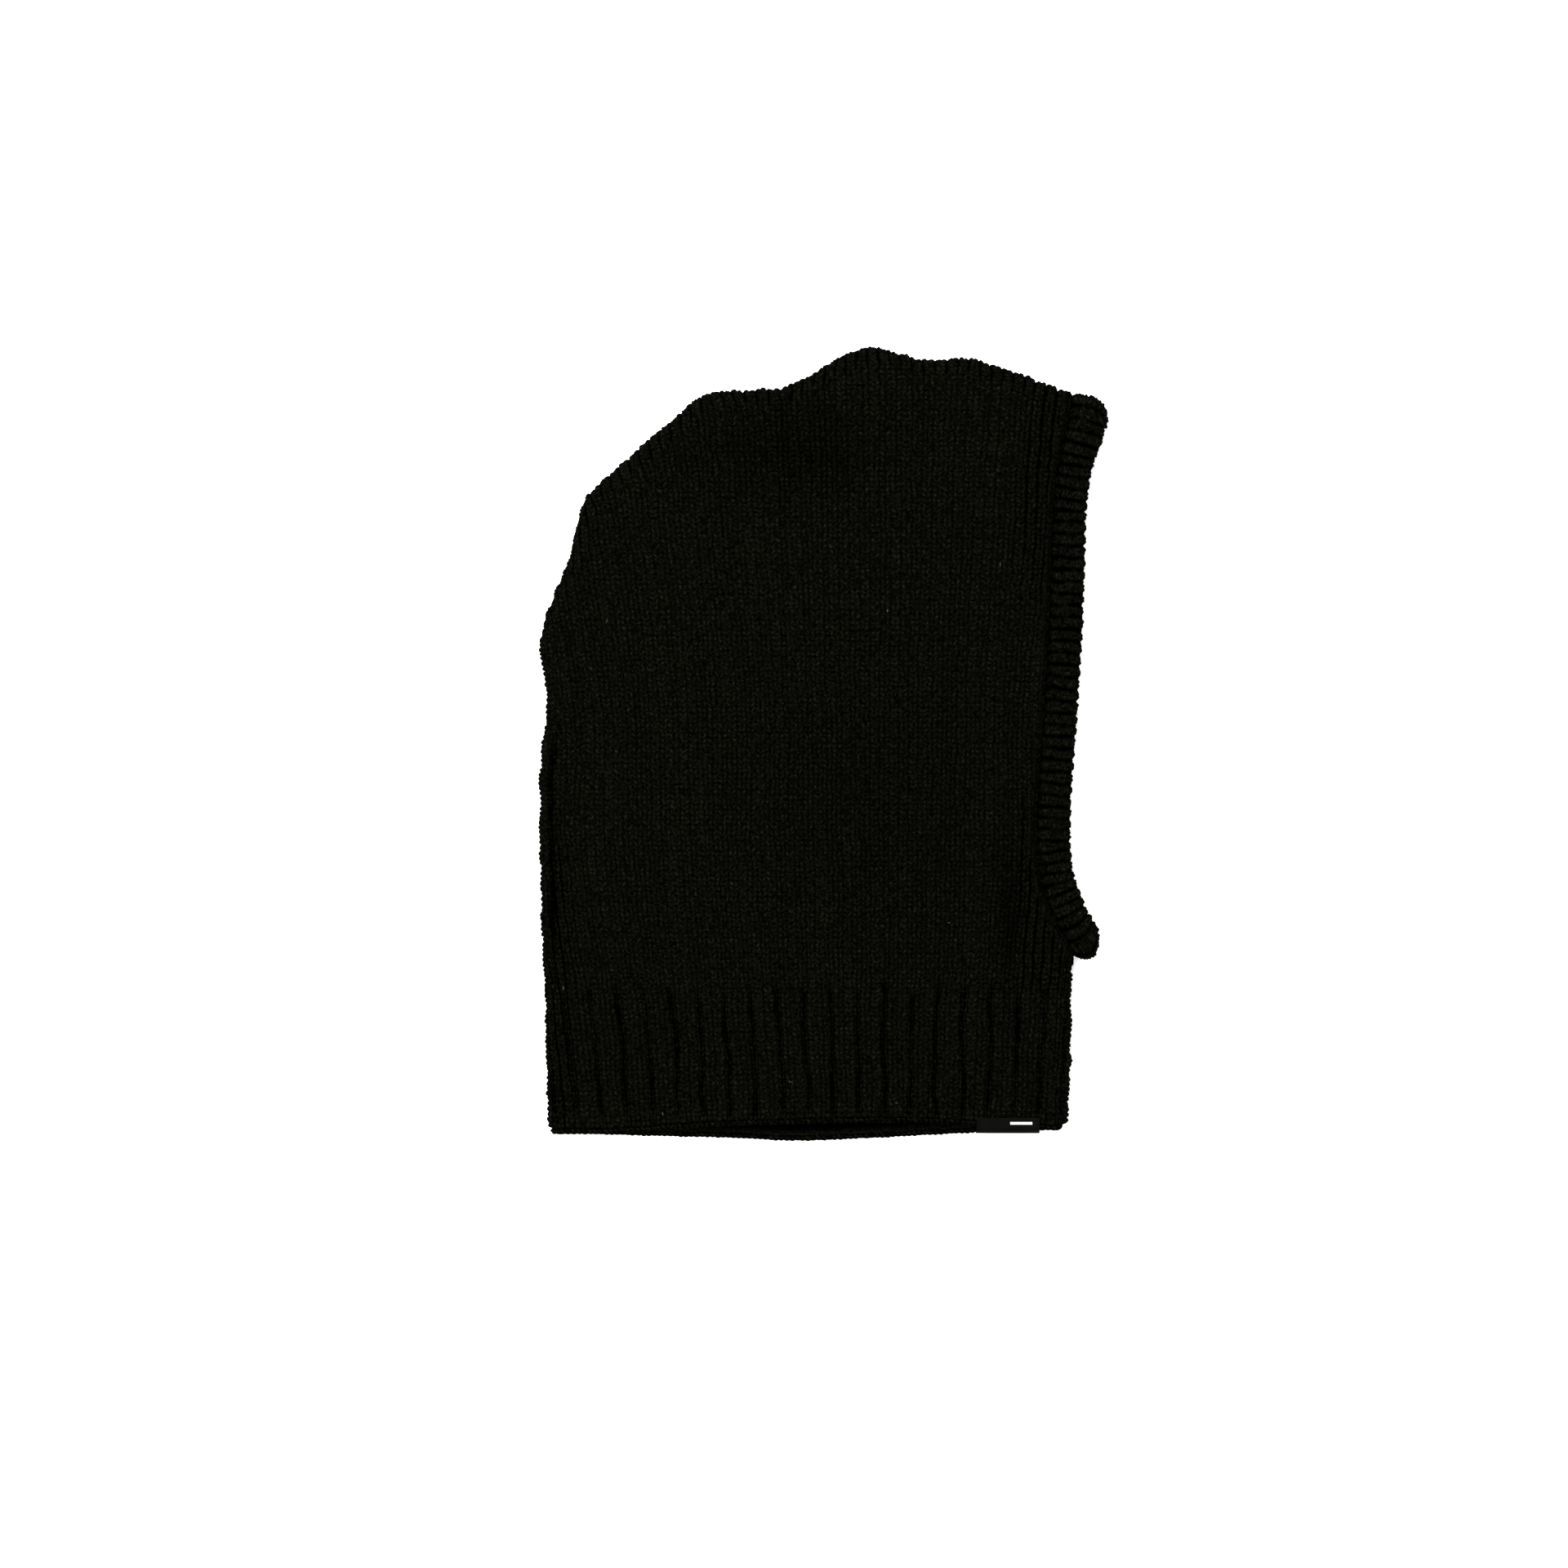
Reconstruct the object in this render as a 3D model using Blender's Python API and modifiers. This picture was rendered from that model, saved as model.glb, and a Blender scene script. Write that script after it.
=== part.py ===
"""A chunky knitted balaclava, laid flat on its left side with its face opening towards +X.

The frame is in metres: +Z up out of the cloth, +Y to the crown, +X to the face. The origin is under the
middle of the outline, at the level that the balaclava lies on. The hood's right side is the upper layer.
Every layer is a shell of cloth whose closed edges roll over, in a quarter circle, to the level where the
two sides are seamed together. The face band is a doubled strip that goes round the face opening like a
belt round two pulleys, one at the forehead and one at the chin.
"""

import math

import bmesh
import bpy
from mathutils import Vector
from mathutils.geometry import intersect_point_line

MM = 0.001
GAP = 0.3 * MM

# Cloth
CLOTH_THICK = 4.0 * MM
FOLD_RADIUS = 9.5 * MM
SEAM_LEVEL = FOLD_RADIUS
LOFT = 6.0 * MM
LOFT_REACH = 60.0 * MM
HEM_FLAT_Y = -186.0 * MM
LOFT_FULL_Y = -60.0 * MM
FOLD_STEPS = 3

# Outline of the balaclava laid flat, in millimetres: each list is a smooth line through its points.
BACK_EDGE = [(-136, -191), (-136.5, -150), (-138, -108), (-139.6, -62), (-139.6, -15), (-136.4, 20),
             (-139.2, 50), (-134.6, 69), (-125.5, 92), (-121.8, 108), (-117, 121.5)]
CROWN_EDGE = [(-117, 121.5), (-104, 134.6), (-90, 146.4), (-74, 160.6), (-58, 172.4), (-42, 174.4),
              (-22, 175.6), (-6, 181.6), (10, 191.8), (24, 195.2), (38, 191.8), (52, 189.2), (70, 190.2),
              (88, 184.6), (104, 179.4), (121.2, 173.4)]
FRONT_EDGE = [(119, -189), (120.9, -165), (121.6, -140), (121.3, -120), (122.8, -104.8)]
OPENING_EDGE = [(122.8, -104.8), (118.1, -96.6), (113.4, -88.4), (109.2, -79), (105.6, -68), (103.8, -56),
                (103.2, -39.2), (104.6, -11.2), (107, 20.8), (109, 52.8), (110.2, 84.8), (111.2, 116.8),
                (114.2, 139.6), (117.6, 154), (121.2, 173.4)]
UPPER_HEM = [(-136, -190.6), (-100, -190), (-50, -186.6), (0, -185.2), (45, -185), (80, -186.6),
             (105, -188.4), (119, -188.6)]
LOWER_HEM = [(-136, -191), (-92, -192.2), (-44, -193.4), (-12, -194.8), (28, -193.2), (74, -190.8),
             (119, -189)]
RIB_TOP_Y = -115.0 * MM
# The rib's closed edges run straight down from here to the hem
RIB_STRAIGHT_Y = -180.0 * MM

# Face band: its width and thickness, how much wider it gets near the forehead, how its linked edge is
# bevelled, as shares of half its thickness, and how finely it turns and folds
BAND_WIDTH = 17.6 * MM
BAND_THICK = 6.5 * MM
BAND_BULGE = 2.0 * MM
BAND_BULGE_REACH = 45.0 * MM
BAND_EDGE_FLAT, BAND_EDGE_BEVEL = 0.7, 0.4
BAND_TURN_STEPS = 6
BAND_FOLD_STEPS = 4

# Seams, chained edges and label
LINK_ROOM = 1.5 * MM
LINK_RADIUS = 1.0 * MM
SEAM_RADIUS = 1.2 * MM
SEAM_ROOM = 1.5 * MM
SEAM_SPAN = 9.0 * MM
JOIN_FROM_LINK, JOIN_FROM_FOLD = 3.75 * MM, 3.0 * MM
CHAIN_RADIUS = 1.8 * MM
CHAIN_START_DEG = 24
CHAIN_TURN_STEPS, CHAIN_SPANS = 3, 16
LABEL_BACK_X = 74.4 * MM
LABEL_FRONT_X = 105.2 * MM
LABEL_EDGE_Y = -189.9 * MM
LABEL_FLAP = 7.6 * MM
LABEL_THICK = 0.6 * MM
LABEL_BEND = 0.6 * MM
THREAD_RADIUS = 0.3 * MM
STITCHING_INSET = 1.2 * MM
STITCHING_FROM_FOLD, STITCHING_FROM_HEM = 1.4 * MM, 0.8 * MM
MARK_LENGTH = 11.0 * MM
MARK_WIDTH = 1.6 * MM
MARK_THICK = 0.6 * MM
MARK_INSET = 3.4 * MM
MARK_FROM_FOLD = 4.2 * MM


def clear_scene():
    for obj in list(bpy.data.objects):
        bpy.data.objects.remove(obj, do_unlink=True)


def new_collection():
    collection = bpy.data.collections.new("balaclava")
    bpy.context.scene.collection.children.link(collection)
    return collection


def material(name, colour, roughness):
    made = bpy.data.materials.new(name)
    made.use_nodes = True
    shader = made.node_tree.nodes["Principled BSDF"]
    shader.inputs["Base Color"].default_value = (*colour, 1)
    shader.inputs["Roughness"].default_value = roughness
    shader.inputs["Metallic"].default_value = 0
    return made


def add(name, data, finish, collection):
    obj = bpy.data.objects.new(name, data)
    data.materials.append(finish)
    collection.objects.link(obj)
    return obj


def mesh_from(bm, name):
    bmesh.ops.recalc_face_normals(bm, faces=bm.faces)
    mesh = bpy.data.meshes.new(name)
    bm.to_mesh(mesh)
    bm.free()
    mesh.shade_smooth()
    mesh.set_sharp_from_angle(angle=math.radians(45))
    return mesh


# Lines in plan


def smooth_line(points, per_span=8):
    """A Catmull-Rom line through the points, which are in millimetres, as vectors in metres."""
    given = [Vector(point) * MM for point in points]
    given = [2 * given[0] - given[1], *given, 2 * given[-1] - given[-2]]
    line = []
    for before, start, end, after in zip(given, given[1:], given[2:], given[3:]):
        for step in range(per_span):
            t = step / per_span
            slope = (end - before) * t
            bend = (2 * before - 5 * start + 4 * end - after) * t**2
            twist = (3 * start - before - 3 * end + after) * t**3
            line.append(start + (slope + bend + twist) / 2)
    return [*line, given[-2]]


def lengths_along(line):
    run = [0.0]
    for a, b in zip(line, line[1:]):
        run.append(run[-1] + (b - a).length)
    return run


def point_at(line, distance):
    """The point this far along the line, and the line's direction there."""
    run = lengths_along(line)
    for i in range(len(line) - 1):
        if run[i + 1] >= distance or i == len(line) - 2:
            share = (distance - run[i]) / (run[i + 1] - run[i])
            return line[i].lerp(line[i + 1], share), (line[i + 1] - line[i]).normalized()


def spread(line, count):
    """This many spans of equal length along the line, as count + 1 points."""
    whole = lengths_along(line)[-1]
    return [point_at(line, whole * i / count)[0] for i in range(count + 1)]


def cut_at_y(line, y, keep_above):
    """The part of a line that climbs in y that lies above, or below, this y."""
    for i, (a, b) in enumerate(zip(line, line[1:])):
        if a.y <= y < b.y:
            crossing = a.lerp(b, (y - a.y) / (b.y - a.y))
            return [crossing, *line[i + 1:]] if keep_above else [*line[:i + 1], crossing]
    raise ValueError("the line doesn't reach this y")


def left_normals(points):
    """Unit normals to the left of the way along the points."""
    last = len(points) - 1
    normals = []
    for i in range(last + 1):
        way = (points[min(i + 1, last)] - points[max(i - 1, 0)]).normalized()
        normals.append(Vector((-way.y, way.x)))
    return normals


def distance_to(line, point):
    best = math.inf
    for a, b in zip(line, line[1:]):
        nearest, share = intersect_point_line(point, a, b)
        nearest = a if share < 0 else b if share > 1 else nearest.to_2d()
        best = min(best, (point - nearest).length)
    return best


BACK = smooth_line(BACK_EDGE)
CROWN = smooth_line(CROWN_EDGE)
FRONT = smooth_line(FRONT_EDGE)
OPENING = smooth_line(OPENING_EDGE)

# How many spans a side panel has over the chin's roll and along the face opening, and how far up the
# opening the chin's roll reaches
CHIN_SPANS, OPENING_SPANS = 2, 18
CHIN_REACH = FOLD_RADIUS * (OPENING[0] - OPENING[1]).length / (OPENING[0] - OPENING[1]).x


def ease(t):
    t = min(max(t, 0.0), 1.0)
    return t * t * (3 - 2 * t)


def loft_at(point):
    """How far the upper layer stands above its rolled edges: nothing at the edges, most in the middle."""
    rise = LOFT * ease((point.y - HEM_FLAT_Y) / (LOFT_FULL_Y - HEM_FLAT_Y))
    for line in (BACK, CROWN, FRONT + OPENING):
        rise *= ease((distance_to(line, point) - FOLD_RADIUS) / LOFT_REACH)
    return rise


# Cloth shells


def rolled_edge(point, inward):
    """(place, height over the seam level) of each point of the cloth's section at a closed edge.

    It goes from the outer skin's flat part down the roll to the seam, and back up the inner skin.
    """
    section = []
    steps = [math.radians(90 * k / FOLD_STEPS) for k in range(FOLD_STEPS, -1, -1)]
    inner_radius = FOLD_RADIUS - CLOTH_THICK
    for radius, angles in ((FOLD_RADIUS, steps), (inner_radius, steps[::-1])):
        for angle in angles:
            place = point + inward * (FOLD_RADIUS - radius * math.cos(angle))
            section.append((place, max(radius * math.sin(angle), GAP / 2)))
    return section


def patch(left, top, right, bottom):
    """Rows of points filling the outline of these four sides, each with matching numbers of points."""
    rows = []
    for j in range(len(left)):
        v = j / (len(left) - 1)
        row = []
        for i in range(len(bottom)):
            u = i / (len(bottom) - 1)
            ruled = bottom[i].lerp(top[i], v) + left[j].lerp(right[j], u)
            corners = bottom[0].lerp(bottom[-1], u).lerp(top[0].lerp(top[-1], u), v)
            row.append(ruled - corners)
        rows.append(row)
    return rows


def rim_of(rows):
    """The grid places around a patch, anticlockwise from its lower left corner."""
    high, wide = len(rows) - 1, len(rows[0]) - 1
    return ([(0, i) for i in range(wide)] + [(j, wide) for j in range(high)]
            + [(high, i) for i in range(wide, 0, -1)] + [(j, 0) for j in range(high, 0, -1)])


def cloth_shell(name, rows, rolls, upper):
    """One closed layer of cloth over a patch.

    Each of the rolls, one per closed edge, gives {grid place: (edge point, inward)}.
    """
    bm = bmesh.new()
    side = 1 if upper else -1

    def vertex(place, height):
        return bm.verts.new((place.x, place.y, SEAM_LEVEL + side * height))

    outer = {}
    inner = {}
    for j, row in enumerate(rows):
        for i, place in enumerate(row):
            height = FOLD_RADIUS + (loft_at(place) if upper else 0)
            outer[j, i] = vertex(place, height)
            inner[j, i] = vertex(place, height - CLOTH_THICK)
    for j in range(len(rows) - 1):
        for i in range(len(rows[0]) - 1):
            corners = [(j, i), (j, i + 1), (j + 1, i + 1), (j + 1, i)]
            bm.faces.new([outer[c] for c in corners])
            bm.faces.new([inner[c] for c in reversed(corners)])

    rim = rim_of(rows)
    edge_sections = []
    for roll in rolls:
        made = {}
        for place, (point, inward) in roll.items():
            section = [vertex(*at) for at in rolled_edge(point, inward)[1:-1]]
            made[place] = [outer[place], *section, inner[place]]
        edge_sections.append(made)
    for a, b in zip(rim, rim[1:] + rim[:1]):
        pair = [(made[a], made[b]) for made in edge_sections if a in made and b in made]
        first, second = pair[0] if pair else ([outer[a], inner[a]], [outer[b], inner[b]])
        for k in range(len(first) - 1):
            bm.faces.new([first[k], first[k + 1], second[k + 1], second[k]])
    for made in edge_sections:
        on_rim = [place for place in rim if place in made]
        for place in on_rim:
            at = rim.index(place)
            if rim[at - 1] not in made or rim[(at + 1) % len(rim)] not in made:
                bm.faces.new(made[place])
    return mesh_from(bm, name)


PANEL_ACROSS = 24
RIB_ACROSS, RIB_UP = 14, 4


def opening_run():
    """(point, way) along the opening line, from the chin's roll to the forehead's roll."""
    whole = lengths_along(OPENING)[-1]
    span = (whole - CHIN_REACH - FOLD_RADIUS) / OPENING_SPANS
    points = [point_at(OPENING, CHIN_REACH + span * i) for i in range(OPENING_SPANS + 1)]
    run = [points[0]]
    for before, (place, _), after in zip(points, points[1:], points[2:]):
        run.append((place, (after[0] - before[0]).normalized()))
    return [*run, points[-1]]


def hood_side(name, upper):
    """The stockinette of one side, from the neck rib to the crown and the face opening."""
    back = spread(cut_at_y(BACK, RIB_TOP_Y, True), CHIN_SPANS + OPENING_SPANS)
    crown = spread(CROWN, PANEL_ACROSS)
    outline = back + crown[1:]
    inward = [-n for n in left_normals(outline)]
    inward[0] = Vector((1, 0))
    edge = [place - LINK_ROOM * Vector((way.y, -way.x)) for place, way in opening_run()]
    chin_way, forehead_way = opening_run()[0][1], opening_run()[-1][1]
    outline[-1] = edge[-1] + forehead_way * FOLD_RADIUS
    inward[-1] = -forehead_way
    chin = edge[0] - chin_way * CHIN_REACH
    front = spread([cut_at_y(FRONT, RIB_TOP_Y, True)[0], chin], CHIN_SPANS)
    front_inward = [Vector((-1, 0)) for _ in front]
    front_inward[-1] = chin_way * CHIN_REACH / FOLD_RADIUS

    inset = [p + n * FOLD_RADIUS for p, n in zip(outline, inward)]
    high = len(back) - 1
    left, top = inset[:high + 1], inset[high:]
    right = [p + n * FOLD_RADIUS for p, n in zip(front, front_inward)][:-1] + edge
    bottom = [left[0].lerp(right[0], i / PANEL_ACROSS) for i in range(PANEL_ACROSS + 1)]
    rows = patch(left, top, right, bottom)
    places = [(j, 0) for j in range(high + 1)] + [(high, i) for i in range(1, PANEL_ACROSS + 1)]
    rolled_back = dict(zip(places, zip(outline, inward)))
    rolled_front = {(j, PANEL_ACROSS): (front[j], front_inward[j]) for j in range(CHIN_SPANS + 1)}
    return cloth_shell(name, rows, [rolled_back, rolled_front], upper)


def hem_y(hem, x):
    line = smooth_line(hem)
    for a, b in zip(line, line[1:]):
        if a.x <= x < b.x:
            return a.y + (b.y - a.y) * (x - a.x) / (b.x - a.x)
    return line[0].y if x < line[0].x else line[-1].y


def above_chain(hem, x):
    """Where the rib starts at this x, just clear of the cast-off chain."""
    return Vector((x, hem_y(hem, x) + 2 * CHAIN_RADIUS + GAP))


def rib_edge(line, hem):
    """The rib's closed edge on this line, from the cast-off chain up to the hood."""
    edge = [above_chain(hem, line[0].x), *cut_at_y(line, RIB_STRAIGHT_Y, True)[1:]]
    return spread(cut_at_y(edge, RIB_TOP_Y - GAP, False), RIB_UP)


def rib_side(name, upper):
    """The neck rib of one side, from the chained hem to the hood."""
    hem = UPPER_HEM if upper else LOWER_HEM
    back, front = rib_edge(BACK, hem), rib_edge(FRONT, hem)
    left = [p + Vector((FOLD_RADIUS, 0)) for p in back]
    right = [p - Vector((FOLD_RADIUS, 0)) for p in front]
    bottom = []
    for i in range(RIB_ACROSS + 1):
        x = left[0].x + (right[0].x - left[0].x) * i / RIB_ACROSS
        bottom.append(above_chain(hem, x))
    left[0], right[0] = bottom[0], bottom[-1]
    top = [left[-1].lerp(right[-1], i / RIB_ACROSS) for i in range(RIB_ACROSS + 1)]
    rows = patch(left, top, right, bottom)
    rolled_back = {(j, 0): (Vector((back[j].x, left[j].y)), Vector((1, 0))) for j in range(RIB_UP + 1)}
    rolled_front = {(j, RIB_ACROSS): (Vector((front[j].x, right[j].y)), Vector((-1, 0)))
                    for j in range(RIB_UP + 1)}
    return cloth_shell(name, rows, [rolled_back, rolled_front], upper)


# The belt-like pieces round the face opening


def opening_stations(radius):
    """Stations round the face opening, up the upper layer and down the lower one.

    Each is (point on the opening line, height, across the band, outward): the belt's middle lies this
    radius from the seam level, and turns on that radius at the forehead and at the chin.
    """
    run = opening_run()
    run.insert(0, point_at(OPENING, FOLD_RADIUS))

    def across(way):
        return Vector((way.y, -way.x, 0))

    def turn(place, way, outwards, start):
        made = []
        for k in range(1, BAND_TURN_STEPS):
            angle = math.radians(start - start * 2 * k / BAND_TURN_STEPS)
            reach = way * outwards * radius * math.cos(angle)
            outward = Vector((*(way * outwards * math.cos(angle)), math.sin(angle)))
            made.append((place + reach, SEAM_LEVEL + radius * math.sin(angle), across(way), outward))
        return made

    up = Vector((0, 0, 1))
    stations = [(place, SEAM_LEVEL + radius, across(way), up) for place, way in run]
    stations += turn(*run[-1], 1, 90)
    stations += [(place, SEAM_LEVEL - radius, across(way), -up) for place, way in reversed(run)]
    stations += turn(*run[0], -1, -90)
    return stations


def band_section(width):
    """(across, outward) corners of the band's section: a bevelled linked edge and a rounded outer fold."""
    half = BAND_THICK / 2
    bevel = LINK_ROOM + BAND_EDGE_BEVEL * half
    section = [(LINK_ROOM, -BAND_EDGE_FLAT * half), (LINK_ROOM, BAND_EDGE_FLAT * half), (bevel, half)]
    for k in range(BAND_FOLD_STEPS + 1):
        angle = math.radians(90 - 180 * k / BAND_FOLD_STEPS)
        section.append((width - half * (1 - math.cos(angle)), half * math.sin(angle)))
    return [*section, (bevel, -half)]


def face_band(name):
    """The doubled ribbed strip: its section, lofted round the opening."""
    bm = bmesh.new()
    rings = []
    forehead = OPENING[-1]
    for place, height, across, outward in opening_stations(FOLD_RADIUS - BAND_THICK / 2):
        width = BAND_WIDTH + BAND_BULGE * ease(1 - (forehead - place).length / BAND_BULGE_REACH)
        middle = Vector((*place, height))
        rings.append([bm.verts.new(middle + across * w + outward * h) for w, h in band_section(width)])
    for first, second in zip(rings, rings[1:] + rings[:1]):
        for k in range(len(first)):
            after = (k + 1) % len(first)
            bm.faces.new([first[k], first[after], second[after], second[k]])
    return mesh_from(bm, name)


def tube(name, points, radius, closed=False):
    """A round yarn, chain or thread along the points."""
    curve = bpy.data.curves.new(name, "CURVE")
    curve.dimensions = "3D"
    curve.bevel_depth = radius
    curve.bevel_resolution = 1
    curve.use_fill_caps = not closed
    spline = curve.splines.new("POLY")
    spline.points.add(len(points) - 1)
    spline.use_cyclic_u = closed
    for target, point in zip(spline.points, points):
        target.co = (*point, 1)
    return curve


def linking_seam_points():
    middle = FOLD_RADIUS - CLOTH_THICK / 2
    return [Vector((*place, height)) for place, height, _, _ in opening_stations(middle)]


def band_join_points():
    """Across the inside of the band's turn at the chin, where its two ends are sewn together."""
    place, way = point_at(OPENING, FOLD_RADIUS)
    reach = FOLD_RADIUS - BAND_THICK - LINK_RADIUS - GAP
    across = Vector((way.y, -way.x))
    ends = [place - way * reach + across * w for w in (JOIN_FROM_LINK, BAND_WIDTH - JOIN_FROM_FOLD)]
    return [Vector((*end, SEAM_LEVEL)) for end in ends]


def closed_edge_seam_points(line, inside):
    """The ridge of a seam, just inside a rolled edge.

    inside is 1 where the cloth lies to the right of the line's way, and -1 where it lies to its left.
    """
    room = inside * (CLOTH_THICK + SEAM_RADIUS + SEAM_ROOM)
    points = spread(line, round(lengths_along(line)[-1] / SEAM_SPAN))
    inset = [p - n * room for p, n in zip(points, left_normals(points))]
    whole = lengths_along(inset)[-1]
    kept = [p for p, run in zip(inset, lengths_along(inset)) if run < whole - FOLD_RADIUS]
    return [Vector((*p, SEAM_LEVEL)) for p in kept]


def chained_edge_points(hem, upper):
    """The cast-off chain along one layer's hem, from roll to roll."""
    side = 1 if upper else -1
    middle = FOLD_RADIUS - CLOTH_THICK / 2
    back_x, front_x = BACK[0].x, FRONT[0].x
    turn = 90 - CHAIN_START_DEG
    shares = [k / CHAIN_TURN_STEPS for k in range(CHAIN_TURN_STEPS + 1)]
    angles = [math.radians(CHAIN_START_DEG + turn * share) for share in shares]
    section = [(back_x + FOLD_RADIUS - middle * math.cos(a), middle * math.sin(a)) for a in angles]
    span = front_x - back_x - 2 * FOLD_RADIUS
    section += [(back_x + FOLD_RADIUS + span * k / CHAIN_SPANS, middle) for k in range(1, CHAIN_SPANS)]
    section += [(front_x - FOLD_RADIUS + middle * math.cos(a), middle * math.sin(a)) for a in angles[::-1]]
    return [Vector((x, hem_y(hem, x) + CHAIN_RADIUS, SEAM_LEVEL + side * h)) for x, h in section]


# Hem label


def label(name):
    """A satin tab folded over the upper hem: a U in side view, made from an open strip."""
    top = SEAM_LEVEL + FOLD_RADIUS + GAP + LABEL_THICK / 2
    bottom = SEAM_LEVEL + FOLD_RADIUS - CLOTH_THICK - GAP - LABEL_THICK / 2
    fold_y = LABEL_EDGE_Y + LABEL_THICK / 2
    flap_y = LABEL_EDGE_Y + LABEL_FLAP
    profile = [(flap_y, top), (fold_y + LABEL_BEND, top), (fold_y, top - LABEL_BEND),
               (fold_y, bottom + LABEL_BEND), (fold_y + LABEL_BEND, bottom), (flap_y, bottom)]
    return strip(name, profile, LABEL_BACK_X, LABEL_FRONT_X)


def strip(name, profile, back_x, front_x):
    """An open strip of this (y, z) profile between two places along x."""
    bm = bmesh.new()
    columns = [[bm.verts.new((x, y, z)) for y, z in profile] for x in (back_x, front_x)]
    for k in range(len(profile) - 1):
        bm.faces.new([columns[0][k], columns[1][k], columns[1][k + 1], columns[0][k + 1]])
    mesh = bpy.data.meshes.new(name)
    bm.to_mesh(mesh)
    bm.free()
    return mesh


def thicken(obj, thickness):
    shell = obj.modifiers.new("cloth", "SOLIDIFY")
    shell.thickness = thickness
    shell.offset = 0
    shell.use_even_offset = True


def over_label(thickness):
    """The middle height of a thread or mark of this thickness that lies on the label."""
    return SEAM_LEVEL + FOLD_RADIUS + LABEL_THICK + 2 * GAP + thickness / 2


def label_stitching(name, x):
    """One row of stitches across the label, from its fold to the hem."""
    z = over_label(2 * THREAD_RADIUS)
    ends = (LABEL_EDGE_Y + STITCHING_FROM_FOLD, LABEL_EDGE_Y + LABEL_FLAP - STITCHING_FROM_HEM)
    return tube(name, [Vector((x, y, z)) for y in ends], THREAD_RADIUS)


def label_mark(name):
    """A plain satin-stitched bar."""
    z = over_label(MARK_THICK)
    low_y = LABEL_EDGE_Y + MARK_FROM_FOLD
    front_x = LABEL_FRONT_X - MARK_INSET
    return strip(name, [(low_y + MARK_WIDTH, z), (low_y, z)], front_x - MARK_LENGTH, front_x)


def build():
    clear_scene()
    collection = new_collection()
    knit = material("black_wool_stockinette", (0.012, 0.012, 0.010), 0.95)
    rib = material("black_wool_rib", (0.011, 0.011, 0.009), 0.95)
    yarn = material("black_wool_seam_yarn", (0.008, 0.008, 0.007), 0.95)
    satin = material("black_satin_label", (0.02, 0.02, 0.022), 0.45)
    thread = material("black_sewing_thread", (0.015, 0.015, 0.015), 0.6)
    pale = material("pale_mark_thread", (0.75, 0.75, 0.73), 0.6)

    for side, upper, hem in (("right", True, UPPER_HEM), ("left", False, LOWER_HEM)):
        add(f"{side}_side_panel", hood_side(f"{side}_side_panel", upper), knit, collection)
        add(f"{side}_neck_rib", rib_side(f"{side}_neck_rib", upper), rib, collection)
        chain = tube(f"{side}_cast_off_edge", chained_edge_points(hem, upper), CHAIN_RADIUS)
        add(f"{side}_cast_off_edge", chain, yarn, collection)

    add("face_band", face_band("face_band"), rib, collection)
    linking = tube("band_linking_seam", linking_seam_points(), LINK_RADIUS, closed=True)
    add("band_linking_seam", linking, yarn, collection)
    add("band_end_join", tube("band_end_join", band_join_points(), LINK_RADIUS), yarn, collection)
    for name, line, inside in (("back_and_crown_seam", BACK + CROWN[1:], 1), ("front_neck_seam", FRONT, -1)):
        ridge = tube(name, closed_edge_seam_points(line, inside), SEAM_RADIUS)
        add(name, ridge, yarn, collection)

    thicken(add("hem_label", label("hem_label"), satin, collection), LABEL_THICK)
    for end, x in (("back", LABEL_BACK_X + STITCHING_INSET), ("front", LABEL_FRONT_X - STITCHING_INSET)):
        add(f"label_stitching_{end}", label_stitching(f"label_stitching_{end}", x), thread, collection)
    thicken(add("label_mark", label_mark("label_mark"), pale, collection), MARK_THICK)


build()
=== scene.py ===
"""The looks of a chunky knitted balaclava that lies flat: every stitch as geometry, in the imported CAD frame.

Lengths are in metres, in the frame of the CAD model: +Z up out of the cloth, +Y to the crown, +X to the face.
The hood's right side is the upper layer. Each layer is knitted on a lattice of wales (columns of stitches)
and courses (rows, counted up from the hem). The lattice is first laid out flat, as a pattern, and then rolled
over the closed edges, down to the level of the seam between the two layers.
"""

import math

import bpy
import numpy as np
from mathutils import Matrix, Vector
from mathutils.geometry import delaunay_2d_cdt


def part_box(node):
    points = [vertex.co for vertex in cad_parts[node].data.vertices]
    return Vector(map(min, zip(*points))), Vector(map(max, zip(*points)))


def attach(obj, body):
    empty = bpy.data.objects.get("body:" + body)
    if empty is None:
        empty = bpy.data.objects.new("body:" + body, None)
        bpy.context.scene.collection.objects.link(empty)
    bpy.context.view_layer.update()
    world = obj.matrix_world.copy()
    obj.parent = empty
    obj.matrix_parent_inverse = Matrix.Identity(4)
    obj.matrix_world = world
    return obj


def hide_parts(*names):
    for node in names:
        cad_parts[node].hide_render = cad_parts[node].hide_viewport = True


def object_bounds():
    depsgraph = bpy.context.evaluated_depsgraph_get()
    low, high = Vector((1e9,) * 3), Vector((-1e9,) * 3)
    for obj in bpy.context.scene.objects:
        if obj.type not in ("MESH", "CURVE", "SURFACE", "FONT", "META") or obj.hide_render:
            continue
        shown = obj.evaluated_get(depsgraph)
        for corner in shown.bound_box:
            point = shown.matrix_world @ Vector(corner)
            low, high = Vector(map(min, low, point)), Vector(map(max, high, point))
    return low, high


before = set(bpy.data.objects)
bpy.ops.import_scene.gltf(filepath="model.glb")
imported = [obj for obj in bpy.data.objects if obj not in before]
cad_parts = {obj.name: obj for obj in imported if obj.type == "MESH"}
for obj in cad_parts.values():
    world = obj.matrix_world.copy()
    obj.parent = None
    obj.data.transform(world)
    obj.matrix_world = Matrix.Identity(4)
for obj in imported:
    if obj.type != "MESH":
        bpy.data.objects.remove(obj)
CAD_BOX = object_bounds()

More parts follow.
